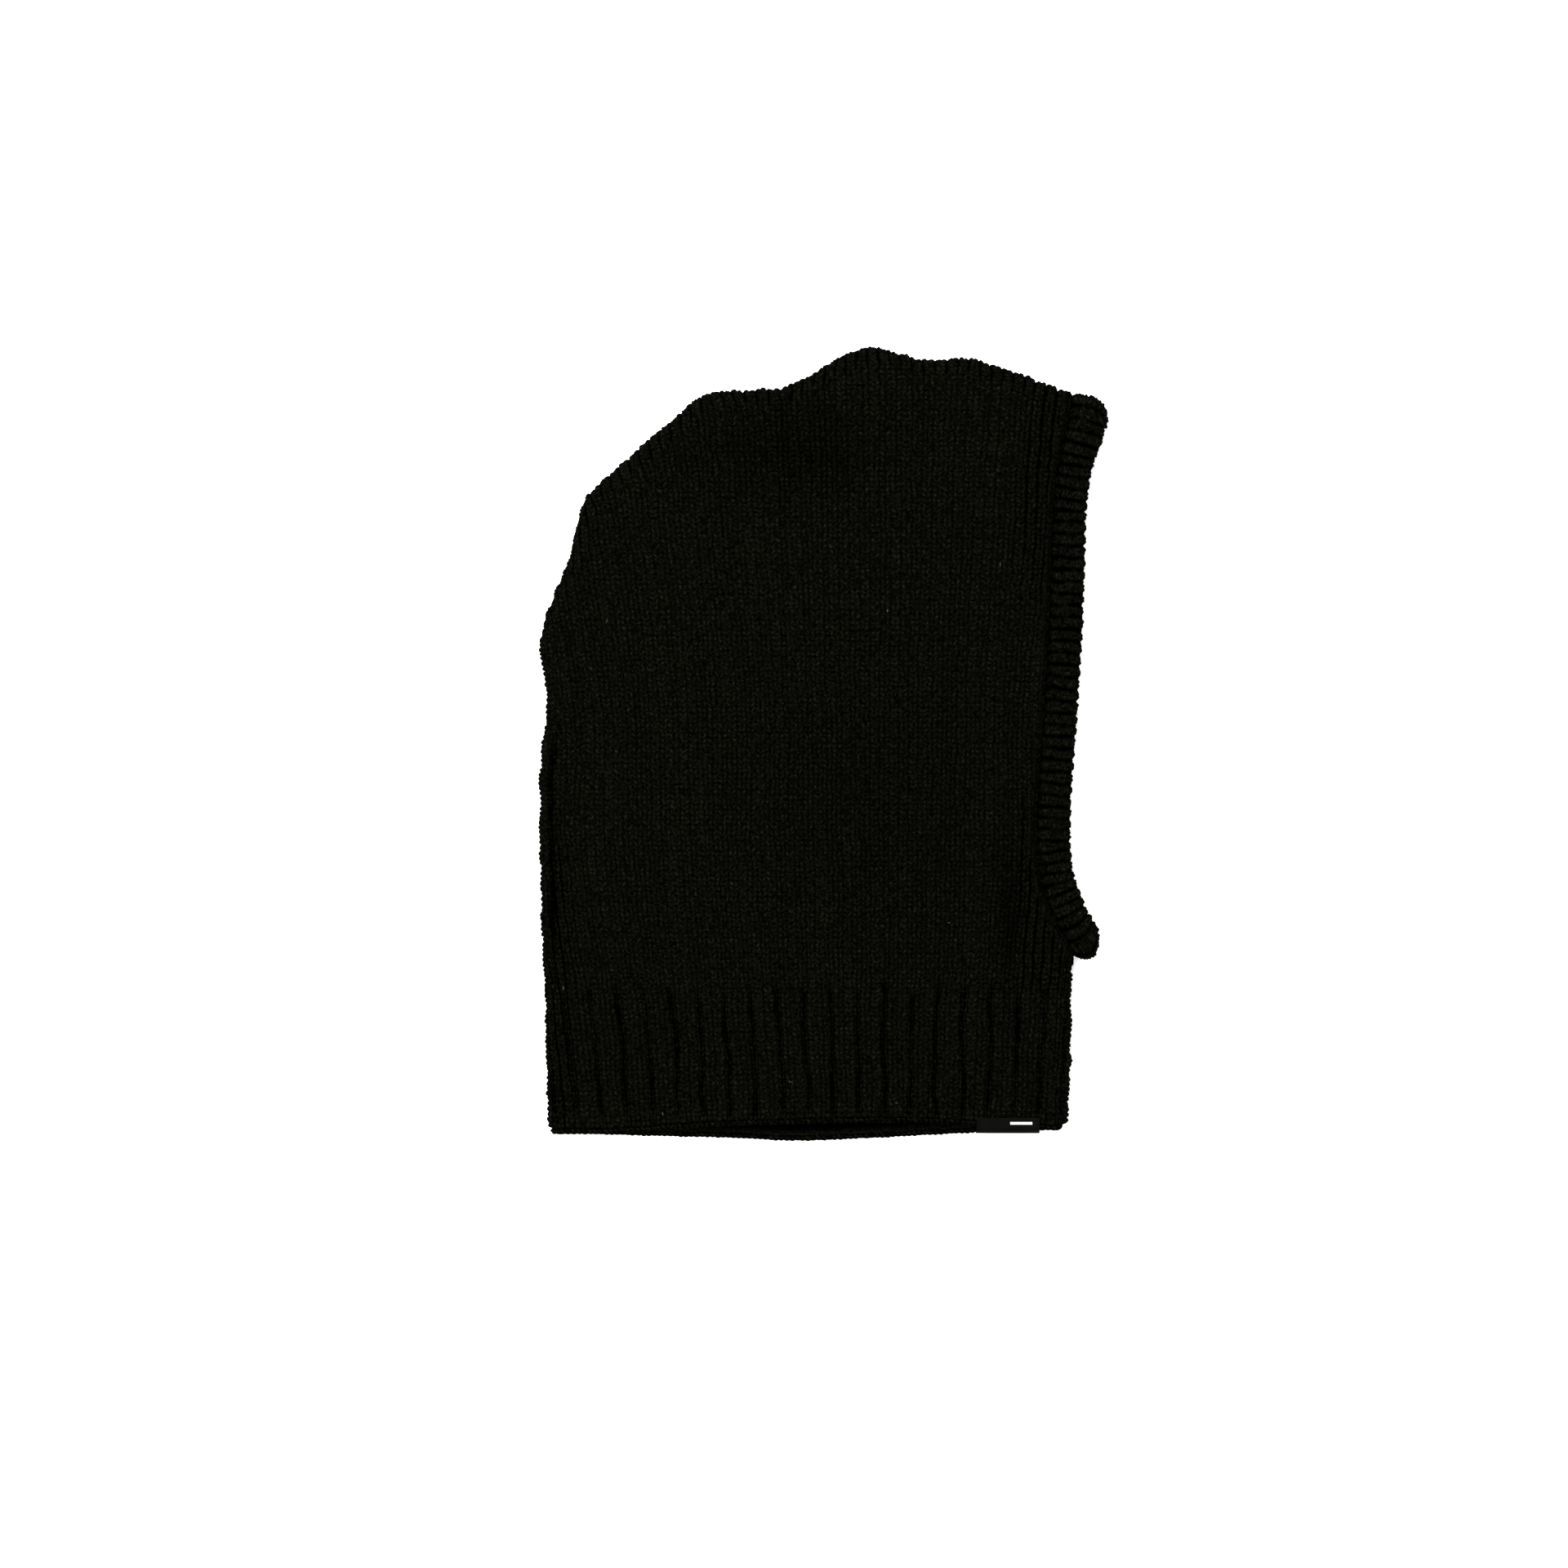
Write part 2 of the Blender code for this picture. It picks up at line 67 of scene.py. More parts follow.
MM = 0.001

# The cloth and its outline, as in the CAD model. The outline's lists are in millimetres.
CLOTH_THICK = 4.0 * MM
FOLD_RADIUS = 9.5 * MM
SEAM_LEVEL = FOLD_RADIUS
LOFT = 6.0 * MM
LOFT_REACH = 60.0 * MM
HEM_FLAT_Y = -186.0 * MM
LOFT_FULL_Y = -60.0 * MM
BACK_EDGE = [(-136, -191), (-136.5, -150), (-138, -108), (-139.6, -62), (-139.6, -15), (-136.4, 20),
             (-139.2, 50), (-134.6, 69), (-125.5, 92), (-121.8, 108), (-117, 121.5)]
CROWN_EDGE = [(-117, 121.5), (-104, 134.6), (-90, 146.4), (-74, 160.6), (-58, 172.4), (-42, 174.4),
              (-22, 175.6), (-6, 181.6), (10, 191.8), (24, 195.2), (38, 191.8), (52, 189.2), (70, 190.2),
              (88, 184.6), (104, 179.4), (121.2, 173.4)]
FRONT_EDGE = [(119, -189), (120.9, -165), (121.6, -140), (121.3, -120), (122.8, -104.8)]
OPENING_EDGE = [(122.8, -104.8), (118.1, -96.6), (113.4, -88.4), (109.2, -79), (105.6, -68), (103.8, -56),
                (103.2, -39.2), (104.6, -11.2), (107, 20.8), (109, 52.8), (110.2, 84.8), (111.2, 116.8),
                (114.2, 139.6), (117.6, 154), (121.2, 173.4)]
UPPER_HEM = [(-136, -190.6), (-100, -190), (-50, -186.6), (0, -185.2), (45, -185), (80, -186.6),
             (105, -188.4), (119, -188.6)]
LOWER_HEM = [(-136, -191), (-92, -192.2), (-44, -193.4), (-12, -194.8), (28, -193.2), (74, -190.8),
             (119, -189)]
RIB_TOP_Y = -115.0 * MM
BAND_WIDTH = 17.6 * MM
BAND_THICK = 6.5 * MM
BAND_BULGE_REACH = 45.0 * MM
LINK_ROOM = 1.5 * MM
LINK_RADIUS = 1.0 * MM
SEAM_RADIUS = 1.2 * MM
SEAM_ROOM = 1.5 * MM
CHAIN_RADIUS = 1.8 * MM
HEM_LAP = 0.7 * MM

# Where the looks leave the CAD model: a band that is fuller at the forehead, and shorter cast-off chains
BAND_BULGE = 3.2 * MM
CHAIN_START = math.radians(36)

# Gauge: how far apart wales and courses are
WALE = 4.65 * MM
COURSE = 2.5 * MM
RIB_COURSES = 29
BODY_COURSES = 127
SPLIT_COURSE = 92
FIRST_WALE, LAST_WALE = -44, 27
# Points of the mesh for each wale and course, and how many of them a border of fine lining takes
WALE_STEPS, COURSE_STEPS = 6, 4
RIM_STEPS = 3
MIDDLE_X = 29.5 * MM

# How the wales run: straight up the middle, drawn together towards the hem and fanned out over the crown
PINCH_LINE = [(-191, 0.89), (-150, 0.915), (-115, 0.94), (-80, 0.975), (-40, 1.0)]
FAN_RATE = 1.1
FAN_FROM = 0.0
FAN_EASE = 30.0 * MM
# Near the fold the wales veer along it: how far, in millimetres, at these places along x
VEER = [(-140, 3.0), (-112, 8.0), (-60, 4.0), (-20, 0.5), (60, 0.0), (100, -3.0), (121, -4.0)]
VEER_REACH = 24.0 * MM
VEER_FROM_Y = -60.0 * MM
VEER_EASE = 100.0 * MM

# Stitches: how far each leg climbs, in courses, and how deep and uneven the grooves round it are
SLANT = 0.6
SLANT_COURSES = 3
RELIEF = 1.3 * MM
LEG_GROOVE = 0.12
LEG_ROUND = 0.8
MOST_CLOSED = 0.7
TUCK = 0.18
TUCK_ROUND = 0.9
STITCH_SPREAD = 0.3
GROOVE_SPREAD = 0.35
GROOVE_RUN = 22.0
# How deep the stitches sink before the painted shade in their grooves is darkest
SHADE_DEPTH = 1.9 * MM
# How far the wales wander and how far the yarns are pushed out of line, each with the size of its waves
WANDERS = [(0.55 * MM, 34.0 * MM), (0.3 * MM, 11.0 * MM)]
JITTERS = [(0.4 * MM, 3.4 * MM), (0.25 * MM, 1.7 * MM)]
YARN_ROUGH = 0.45
ROUGH_ACROSS, ROUGH_UP = 3.7, 2.1
MOST_HEIGHT = 1.12

# The neck rib sinks one wale in each repeat, which also gets painted shade
RIB_REPEAT = 3
PURL_NARROWING = 0.15
RIB_DEPTH = 2.1 * MM
RIB_SHADE = 0.52
RIB_FADE = 9.0 * MM
RIB_END_Y = -184.0 * MM
RIB_END_FADE = 7.0 * MM
TROUGH_FLAT, TROUGH_SLOPE = 0.08, 0.5
TROUGH_WOBBLE = 0.3
TROUGH_SPREAD = 0.35
TROUGH_ROUGH = 0.15
RIB_TOP_RAGGED = 3.0 * MM

# The two layers' shape at rest
DIPS = [
    # x, y, half-width, half-height, depth, all in millimetres
    (-12, 143, 38, 21, 2.1),
    (90, -80, 5.5, 38, 2.6),
    (-40, 20, 60, 50, -0.8),
    (30, -30, 40, 60, 0.8),
]
# Painted shade in the upper layer's dips, for each millimetre of their depth
HOLLOW_SHADE = 0.14
RIPPLE = 0.8 * MM
RIPPLE_CELL = 42.0 * MM
EDGE_FREE, EDGE_EASE = 4.0 * MM, 12.0 * MM

# The edge along the face opening curls down to the linking chain, with painted shade on the curl
CURL_REACH = 3.4 * MM
CURL_DROP = 2.6 * MM
CURL_ROUND = 1.5
CURL_LEAN = 0.5
CURL_SHADE = 0.5

# The roll over the crown puffs each wale out into a scallop, with a deep groove beside it that also gets
# painted shade
SCALLOP_DEPTH = 0.9 * MM
SCALLOP_SHADE = 0.6 * MM
SCALLOP_FLATTENS = 0.2
SCALLOP_FULL, SCALLOP_REACH = 9.0 * MM, 16.0 * MM
SCALLOP_FROM_Y, SCALLOP_EASE = 50.0 * MM, 60.0 * MM
PUFF_ROUND = 0.98
PUFF_SPREAD = 0.35
PUFF_RUN = 6

# The wales are also set off by a groove below the chin, beside the band's upper part, and low down the back
SIDE_GROOVE = 0.7 * MM
SIDE_GROOVE_SHARP = 4
CHIN_FROM_X, CHIN_EASE_X = 93.0 * MM, 5.0 * MM
CHIN_TOP_Y, CHIN_EASE_Y = -10.0 * MM, 30.0 * MM
BAND_SIDE_IN, BAND_SIDE_EASE = 12.0 * MM, 8.0 * MM
BAND_SIDE_FROM_Y, BAND_SIDE_EASE_Y = 60.0 * MM, 40.0 * MM
BACK_SIDE_IN, BACK_SIDE_EASE = 8.0 * MM, 10.0 * MM
BACK_SIDE_TOP_Y, BACK_SIDE_EASE_Y = -40.0 * MM, 30.0 * MM

# A crease that runs up the back, a little in from the fold
BACK_CREASE = 1.3 * MM
BACK_CREASE_IN = 6.0 * MM
BACK_CREASE_WIDE = 1.8 * MM
BACK_CREASE_Y = (-125.0 * MM, 10.0 * MM)
BACK_CREASE_EASE = 20.0 * MM
BACK_CREASE_SPREAD = 0.45
BACK_CREASE_CELL = 26.0 * MM

# The rolled edges are a little bumpy, and round off at the hem's corners
EDGE_BUMP = 0.7 * MM
EDGE_BUMP_CELL = 5.0 * MM
CORNER_Y = -184.5 * MM
CORNER_ROUND = 4.0 * MM
MOST_CORNER = 0.95

# Knit edges come this near to the opening line, and so touch the linking chain
EDGE_ROOM = 0.15 * MM

# Painted shade on the cloth's inner face, darker up from the hem between the layers: courses up, and the
# relief that has the same painted shade
LINING_SHADE = [(0.0, 1.4), (0.8, 0.12)]

# Chains of stitches along the hem and round the opening
CHAIN_STEPS, CHAIN_AROUND = 8, 24
CHAIN_WALES = 2
CHAIN_TURN = 0.25
CHAIN_RELIEF = 0.35
LINK_PITCH = 2.4 * MM
CAST_OFF_PITCH = 2.6 * MM
SEAM_LAY = 6.0 * MM
JOIN_LAY = 4.0 * MM
JOIN_GAP = 0.3 * MM

# Face band
BAND_RIBS = 98
RIB_STEPS = 8
BAND_COURSES = 13
BAND_RELIEF = 1.9 * MM
BAND_WOBBLE = 0.1
BAND_SPREAD = 0.22
BAND_SHADE = 0.86
BAND_GAP, BAND_GAP_SPREAD = 0.08, 0.05
BAND_ROUND = 0.6
BAND_SPLIT, BAND_SPLIT_WIDE = 0.3, 0.13
BAND_SLANT = 0.9
BAND_TUCK, BAND_TUCK_ROUND = 0.6, 0.7
BAND_STITCH_SPREAD = 0.14
BAND_MOST_HEIGHT = 1.1
# Painted shade towards the seam with the hood, over this reach
BAND_SEAM_SHADE = 0.4
BAND_SEAM_REACH = 3.2 * MM

# The band's two ends in plan, in millimetres: a bulb at the forehead and a blunt tip at the chin
BAND_END_REACH = 14.0 * MM
BAND_CORNER_FROM = 9
MOST_BAND_CORNER = 0.97
FOREHEAD_CORNER, FOREHEAD_BACK = 11, 10
FOREHEAD_NOTCH, FOREHEAD_NOTCH_ROUND = 7, 45
CHIN_CORNER, CHIN_BACK = 10, 9
CHIN_SWELL, CHIN_SWELL_REACH = 4.6, 15

# Label
LABEL_THICK = 0.6 * MM
LABEL_COLUMNS = 60
LABEL_WAVE = 0.12 * MM
LABEL_THREAD = 0.28 * MM
LABEL_STITCHES = 3
LABEL_WAVE_CELL = 6.0 * MM
STITCH_GAP = 0.2 * MM
STITCH_SAG = 0.2 * MM
MARK_PITCH = 0.42 * MM
MARK_OVERLAP = 0.55
MARK_SAG = 0.1 * MM

# Loose fibres: their length and thickness, and how much denser they are on the rolled edges
FUZZ_LENGTH = 1.4 * MM
FUZZ_RADIUS = 0.05 * MM
EDGE_FUZZ = 30.0
LAYER_FIBRES = 6000
CHAIN_FIBRES = 2200
BAND_FIBRES = 1600
FUZZ_FLOOR = 0.1 * MM
FUZZ_SUNK = 0.2 * MM
FUZZ_LEAN = 0.6
FUZZ_BEND = 0.35
FUZZ_SHORTEST = 0.4
FUZZ_TAPER = 0.4
LEAST_FUZZY = 0.35
# Specks of lint on the upper layer, at these places in millimetres
LINT = [(-127, -119), (-17, -165), (-106, 61), (31, 65), (61, -87), (86, 88), (-79, -180), (35, -175)]
LINT_FIBRES = 3
LINT_LENGTH = 2.4 * MM
LINT_RADIUS = 0.16 * MM

# Camera and light
PICTURE_WIDTH = 768.0 * MM
PICTURE_CENTRE = (-19.6 * MM, -19.2 * MM)
CAMERA_HEIGHT = 2.6


# Numbers


def ease(t):
    t = np.clip(t, 0, 1)
    return t * t * (3 - 2 * t)


def smooth_line(points, per_span=5):
    """A Catmull-Rom line through the points, which are in millimetres, as points in metres."""
    given = np.array(points, float) * MM
    given = np.vstack([2 * given[0] - given[1], given, 2 * given[-1] - given[-2]])
    t = (np.arange(per_span) / per_span)[:, None]
    spans = []
    for before, start, end, after in zip(given, given[1:], given[2:], given[3:]):
        slope = (end - before) * t
        bend = (2 * before - 5 * start + 4 * end - after) * t**2
        twist = (3 * start - before - 3 * end + after) * t**3
        spans.append(start + (slope + bend + twist) / 2)
    return np.vstack([*spans, given[-2:-1]])


def lengths_along(line):
    return np.concatenate([[0], np.cumsum(np.linalg.norm(np.diff(line, axis=0), axis=1))])


def points_at(line, distances):
    run = lengths_along(line)
    return np.stack([np.interp(distances, run, axis) for axis in line.T], axis=1)


def unit(vectors):
    return vectors / np.maximum(np.linalg.norm(vectors, axis=-1, keepdims=True), 1e-12)


def soft_noise(seed, x, y, cell):
    """Smooth noise from -1 to 1 over a plane, with features about as large as a cell."""
    side = 64
    table = np.random.default_rng(seed).uniform(-1, 1, (side, side))
    column, row = x / cell + side / 2, y / cell + side / 2
    i, j = np.floor(column).astype(int), np.floor(row).astype(int)
    u, v = ease(column - i), ease(row - j)
    low = table[j % side, i % side] * (1 - u) + table[j % side, (i + 1) % side] * u
    high = table[(j + 1) % side, i % side] * (1 - u) + table[(j + 1) % side, (i + 1) % side] * u
    return low * (1 - v) + high * v


def each_stitch(seed, i, j):
    """A number from -1 to 1 for each stitch."""
    side = 256
    table = np.random.default_rng(seed).uniform(-1, 1, (side, side))
    return table[np.floor(j).astype(int) % side, np.floor(i).astype(int) % side]


# Outline


def stretched(line, start_way, end_way, reach=0.2):
    """The line, run on at its ends in these directions."""
    before = line[0] + np.array(start_way) * reach
    after = line[-1] + np.array(end_way) * reach
    return np.vstack([before, line, after])


def measured_from(line, points):
    """(distance, foot, inward) of points in plan from a line whose inner side is on the right of its way."""
    steps = np.diff(line, axis=0)
    lengths = np.linalg.norm(steps, axis=1)
    ways = steps / lengths[:, None]
    rights = np.stack([ways[:, 1], -ways[:, 0]], axis=1)
    corner_rights = unit(np.vstack([rights[:1], rights[:-1] + rights[1:], rights[-1:]]))
    flat = points.reshape(-1, 2)
    distance, foot, inward = np.empty(len(flat)), np.empty_like(flat), np.empty_like(flat)
    for part in np.array_split(np.arange(len(flat)), len(flat) // 20000 + 1):
        offset = flat[part, None] - line[None, :-1]
        run = np.clip((offset * ways).sum(2), 0, lengths)
        gap = offset - run[..., None] * ways
        nearest = (gap**2).sum(2).argmin(1)
        rows = np.arange(len(part))
        gap = gap[rows, nearest]
        share = (run[rows, nearest] / lengths[nearest])[:, None]
        side = np.where((gap * rights[nearest]).sum(1) >= 0, 1.0, -1.0)
        size = np.linalg.norm(gap, axis=1)
        away = gap * side[:, None]
        normal = corner_rights[nearest] * (1 - share) + corner_rights[nearest + 1] * share
        trust = np.clip(size / (3 * MM), 0, 1)[:, None]
        distance[part] = side * size
        foot[part] = flat[part] - gap
        inward[part] = unit(unit(away) * trust + normal * (1 - trust))
    shape = points.shape[:-1]
    return distance.reshape(shape), foot.reshape(points.shape), inward.reshape(points.shape)


BACK = smooth_line(BACK_EDGE)
CROWN = smooth_line(CROWN_EDGE)
FRONT = smooth_line(FRONT_EDGE)
OPENING = smooth_line(OPENING_EDGE)
FOLD_LINE = stretched(np.vstack([BACK, CROWN[1:]]), (0, -1), unit(CROWN[-1] - CROWN[-2]))
FRONT_LINE = stretched(FRONT, (0, -1), (0.7, 0.7))[::-1]
OPENING_LINE = stretched(OPENING, unit(OPENING[0] - OPENING[1]), unit(OPENING[-1] - OPENING[-2]))[::-1]
# The flat pattern reaches this much further out than the outline, for the quarter circle of the roll
ROLL_EXTRA = (math.pi / 2 - 1) * FOLD_RADIUS


def hem_at(hem, x):
    line = smooth_line(hem)
    return np.interp(x, line[:, 0], line[:, 1])


# The lattice of one layer


def wale_x(wales, y, upper):
    """Where each wale runs, at these heights of the flat pattern."""
    repeat = wales % RIB_REPEAT
    in_rib = ease((RIB_TOP_Y - y) / RIB_FADE)
    narrowing = np.interp(repeat, [0, 0.5, 1, 2, 3], PURL_NARROWING * np.array([1, 0, -1, 0, 1]))
    across = (wales - 0.5 + narrowing * in_rib) * WALE
    pinch_y, pinch = np.array(PINCH_LINE).T
    rise = np.maximum(y - FAN_FROM, 0)
    fan = 1 + FAN_RATE * rise**2 / (rise + FAN_EASE)
    wander = sum(size * soft_noise(11 if upper else 12, across, y, cell) for size, cell in WANDERS)
    return MIDDLE_X + across * np.interp(y, pinch_y * MM, pinch) * fan + wander


def veered(pattern):
    """The flat pattern with its wales bent along the back and crown, where they come near the fold."""
    distance, foot, inward = measured_from(FOLD_LINE, pattern)
    place, way = np.array(VEER).T
    reach = np.clip(1 - (distance + ROLL_EXTRA) / VEER_REACH, 0, 1)**2
    shift = np.interp(foot[..., 0] / MM, place, way) * MM * reach
    shift = shift * ease((foot[..., 1] - VEER_FROM_Y) / VEER_EASE)
    along = np.stack([inward[..., 1], -inward[..., 0]], axis=-1)
    return pattern + along * shift[..., None]


def jittered(pattern, seed):
    """The flat pattern with its yarns pushed out of line, as in cloth that has been worn."""
    moved = pattern.copy()
    x, y = pattern[..., 0], pattern[..., 1]
    for k, (size, cell) in enumerate(JITTERS):
        for axis in (0, 1):
            moved[..., axis] += size * soft_noise(seed + 2 * k + axis, x, y, cell)
    return moved


def course_y(courses, x, hem):
    """How high up the pattern each course lies: the rib's courses share out the room between the hem and the
    hood.
    """
    bottom = hem_at(hem, x) + 2 * CHAIN_RADIUS - HEM_LAP
    in_rib = bottom + (RIB_TOP_Y - bottom) * courses / RIB_COURSES
    above = RIB_TOP_Y + (courses - RIB_COURSES) * COURSE
    return np.where(courses < RIB_COURSES, in_rib, above)


def hollows(plan):
    """How deep the dips in the upper layer are, in millimetres."""
    x, y = plan[..., 0] / MM, plan[..., 1] / MM
    return sum(max(depth, 0) * np.exp(-((x - dip_x) / half_wide)**2 - ((y - dip_y) / half_high)**2)
               for dip_x, dip_y, half_wide, half_high, depth in DIPS)


def cloth_rise(plan, distances):
    """How far the upper layer stands over its rolled edges."""
    x, y = plan[..., 0], plan[..., 1]
    rise = LOFT * ease((y - HEM_FLAT_Y) / (LOFT_FULL_Y - HEM_FLAT_Y))
    room = np.ones_like(x)
    for distance in distances:
        rise = rise * ease((distance - FOLD_RADIUS) / LOFT_REACH)
        room = room * ease((distance - EDGE_FREE) / EDGE_EASE)
    for dip_x, dip_y, half_wide, half_high, depth in DIPS:
        bell = np.exp(-((x / MM - dip_x) / half_wide)**2 - ((y / MM - dip_y) / half_high)**2)
        rise = rise - depth * MM * bell * room
    return rise + RIPPLE * soft_noise(5, x, y, RIPPLE_CELL) * room


def from_middle(wales):
    """0 in the middle of each wale and 1 at its edges."""
    return np.abs(2 * (wales % 1) - 1)


def stitch_height(wales, courses, seed):
    """The stitches' own relief, from 0 in the deepest groove to about 1 on top of a leg."""
    leg = 2 * wales
    across = leg % 1
    wale_middle = 1 - from_middle(wales)
    uneven = GROOVE_SPREAD * soft_noise(seed + 1, np.round(leg), courses / GROOVE_RUN, 1)
    closed_up = np.clip(LEG_GROOVE * wale_middle + uneven, 0, MOST_CLOSED)
    body = closed_up + (1 - closed_up) * np.sin(math.pi * across)**LEG_ROUND
    tuck = TUCK + (1 - TUCK) * np.sin(math.pi * (courses % 1))**TUCK_ROUND
    rough = 1 + YARN_ROUGH * soft_noise(seed + 2, ROUGH_ACROSS * wales, ROUGH_UP * courses, 1)
    height = body * tuck * rough * (1 + STITCH_SPREAD * (each_stitch(seed, leg, courses) - 0.5))
    return np.minimum(height, MOST_HEIGHT)


def rolled_over(pattern, edges):
    """The flat pattern rolled over the closed edges, each given as measured_from gives it.

    Gives the pattern, its plan, the outward normals in plan, how far up the roll each point is, from 0 at the
    seam's level to 1 on top, and which points are within the outline.
    """
    plan = pattern.copy()
    normal = np.zeros((*pattern.shape[:-1], 3))
    lift = np.ones(pattern.shape[:-1])
    inside = np.ones(pattern.shape[:-1], bool)
    for distance, foot, inward in edges:
        arc = np.clip((distance + ROLL_EXTRA) / FOLD_RADIUS, 0, math.pi / 2)
        corner = np.clip((CORNER_Y - foot[..., 1]) / CORNER_ROUND, 0, MOST_CORNER)
        bump = EDGE_BUMP * soft_noise(7, foot[..., 0], foot[..., 1], EDGE_BUMP_CELL)
        bump = bump + CORNER_ROUND * (1 - np.sqrt(1 - corner**2))
        rolled = foot + inward * (FOLD_RADIUS - (FOLD_RADIUS - bump) * np.cos(arc))[..., None]
        near = (distance < FOLD_RADIUS)[..., None]
        plan = plan + np.where(near, rolled - pattern, 0)
        outside = distance < -ROLL_EXTRA
        pattern = np.where(outside[..., None], foot - inward * ROLL_EXTRA, pattern)
        normal[..., :2] -= inward * np.cos(arc)[..., None]
        lift = lift * np.sin(arc)
        inside &= ~outside
    return pattern, plan, normal, lift, inside


def scallops(wales, courses, fold, fold_foot, seed):
    """(how much the crown's roll shows, how far each wale's edge is drawn in there)."""
    puff = 1 - np.sqrt(1 - PUFF_ROUND * (2 * (wales % 1) - 1)**2)
    on_crown = ease((fold_foot[..., 1] - SCALLOP_FROM_Y) / SCALLOP_EASE)
    scallop = on_crown * (1 - ease((fold + ROLL_EXTRA - SCALLOP_FULL) / (SCALLOP_REACH - SCALLOP_FULL)))
    puff = puff * (1 - PUFF_SPREAD + PUFF_SPREAD * soft_noise(seed + 9, wales, courses / PUFF_RUN, 1))
    return scallop, puff


def beside_edges(pattern, plan, fold, opening):
    """Where the wales are set off by a groove of their own: 1 where it is deepest."""
    below_chin = ease((plan[..., 0] - CHIN_FROM_X) / CHIN_EASE_X)
    below_chin = below_chin * ease((CHIN_TOP_Y - plan[..., 1]) / CHIN_EASE_Y)
    beside_band = (1 - ease((opening - BAND_SIDE_IN) / BAND_SIDE_EASE)) * ease(
        (plan[..., 1] - BAND_SIDE_FROM_Y) / BAND_SIDE_EASE_Y)
    above_rib = ease((pattern[..., 1] - RIB_TOP_Y + RIB_FADE) / RIB_FADE)
    in_front = np.maximum(below_chin, beside_band) * above_rib
    at_back = (1 - ease((fold - BACK_SIDE_IN) / BACK_SIDE_EASE)) * ease(
        (BACK_SIDE_TOP_Y - plan[..., 1]) / BACK_SIDE_EASE_Y)
    return np.maximum(in_front, at_back)


def back_crease(wales, plan, fold):
    """The crease up the back, from 0 to 1."""
    low_y, high_y = BACK_CREASE_Y
    crease = np.exp(-((fold - BACK_CREASE_IN) / BACK_CREASE_WIDE)**2)
    crease = crease * ease((plan[..., 1] - low_y) / BACK_CREASE_EASE)
    crease = crease * ease((high_y - plan[..., 1]) / BACK_CREASE_EASE)
    uneven = soft_noise(8, wales * 0, plan[..., 1], BACK_CREASE_CELL)
    return crease * (1 - BACK_CREASE_SPREAD + BACK_CREASE_SPREAD * uneven)


def rib_troughs(wales, courses, pattern, seed):
    """(how deep the sunk wales of the rib are, where the rib is), both from 0 to 1."""
    wobbled = wales + TROUGH_WOBBLE * soft_noise(seed + 6, wales / 3, courses / 6, 1)
    beside_trough = np.abs((wobbled - 0.5 + RIB_REPEAT / 2) % RIB_REPEAT - RIB_REPEAT / 2)
    trough = 1 - ease((beside_trough - TROUGH_FLAT) / TROUGH_SLOPE)
    trough = trough * (1 - TROUGH_SPREAD + TROUGH_SPREAD * soft_noise(seed + 3, wales / 2, courses / 7, 1))
    trough = trough * (1 - TROUGH_ROUGH + TROUGH_ROUGH * soft_noise(seed + 8, wales * 2, courses, 1))
    ragged = RIB_TOP_RAGGED * soft_noise(seed + 4, wales, wales * 0, 2)
    ribbed = ease((RIB_TOP_Y + ragged - pattern[..., 1]) / RIB_FADE)
    return trough, ribbed * ease((pattern[..., 1] - RIB_END_Y) / RIB_END_FADE)


def flat_pattern(wales, courses, upper, seed):
    """Where each point of the lattice is in the flat pattern, with the legs of the stitches slanted."""
    hem = UPPER_HEM if upper else LOWER_HEM
    climbed = courses + SLANT * from_middle(wales) * ease(courses / SLANT_COURSES)
    x = wale_x(wales, course_y(climbed, MIDDLE_X, hem), upper)
    pattern = np.stack([x, course_y(climbed, x, hem)], axis=-1)
    return jittered(veered(pattern), seed + 200)


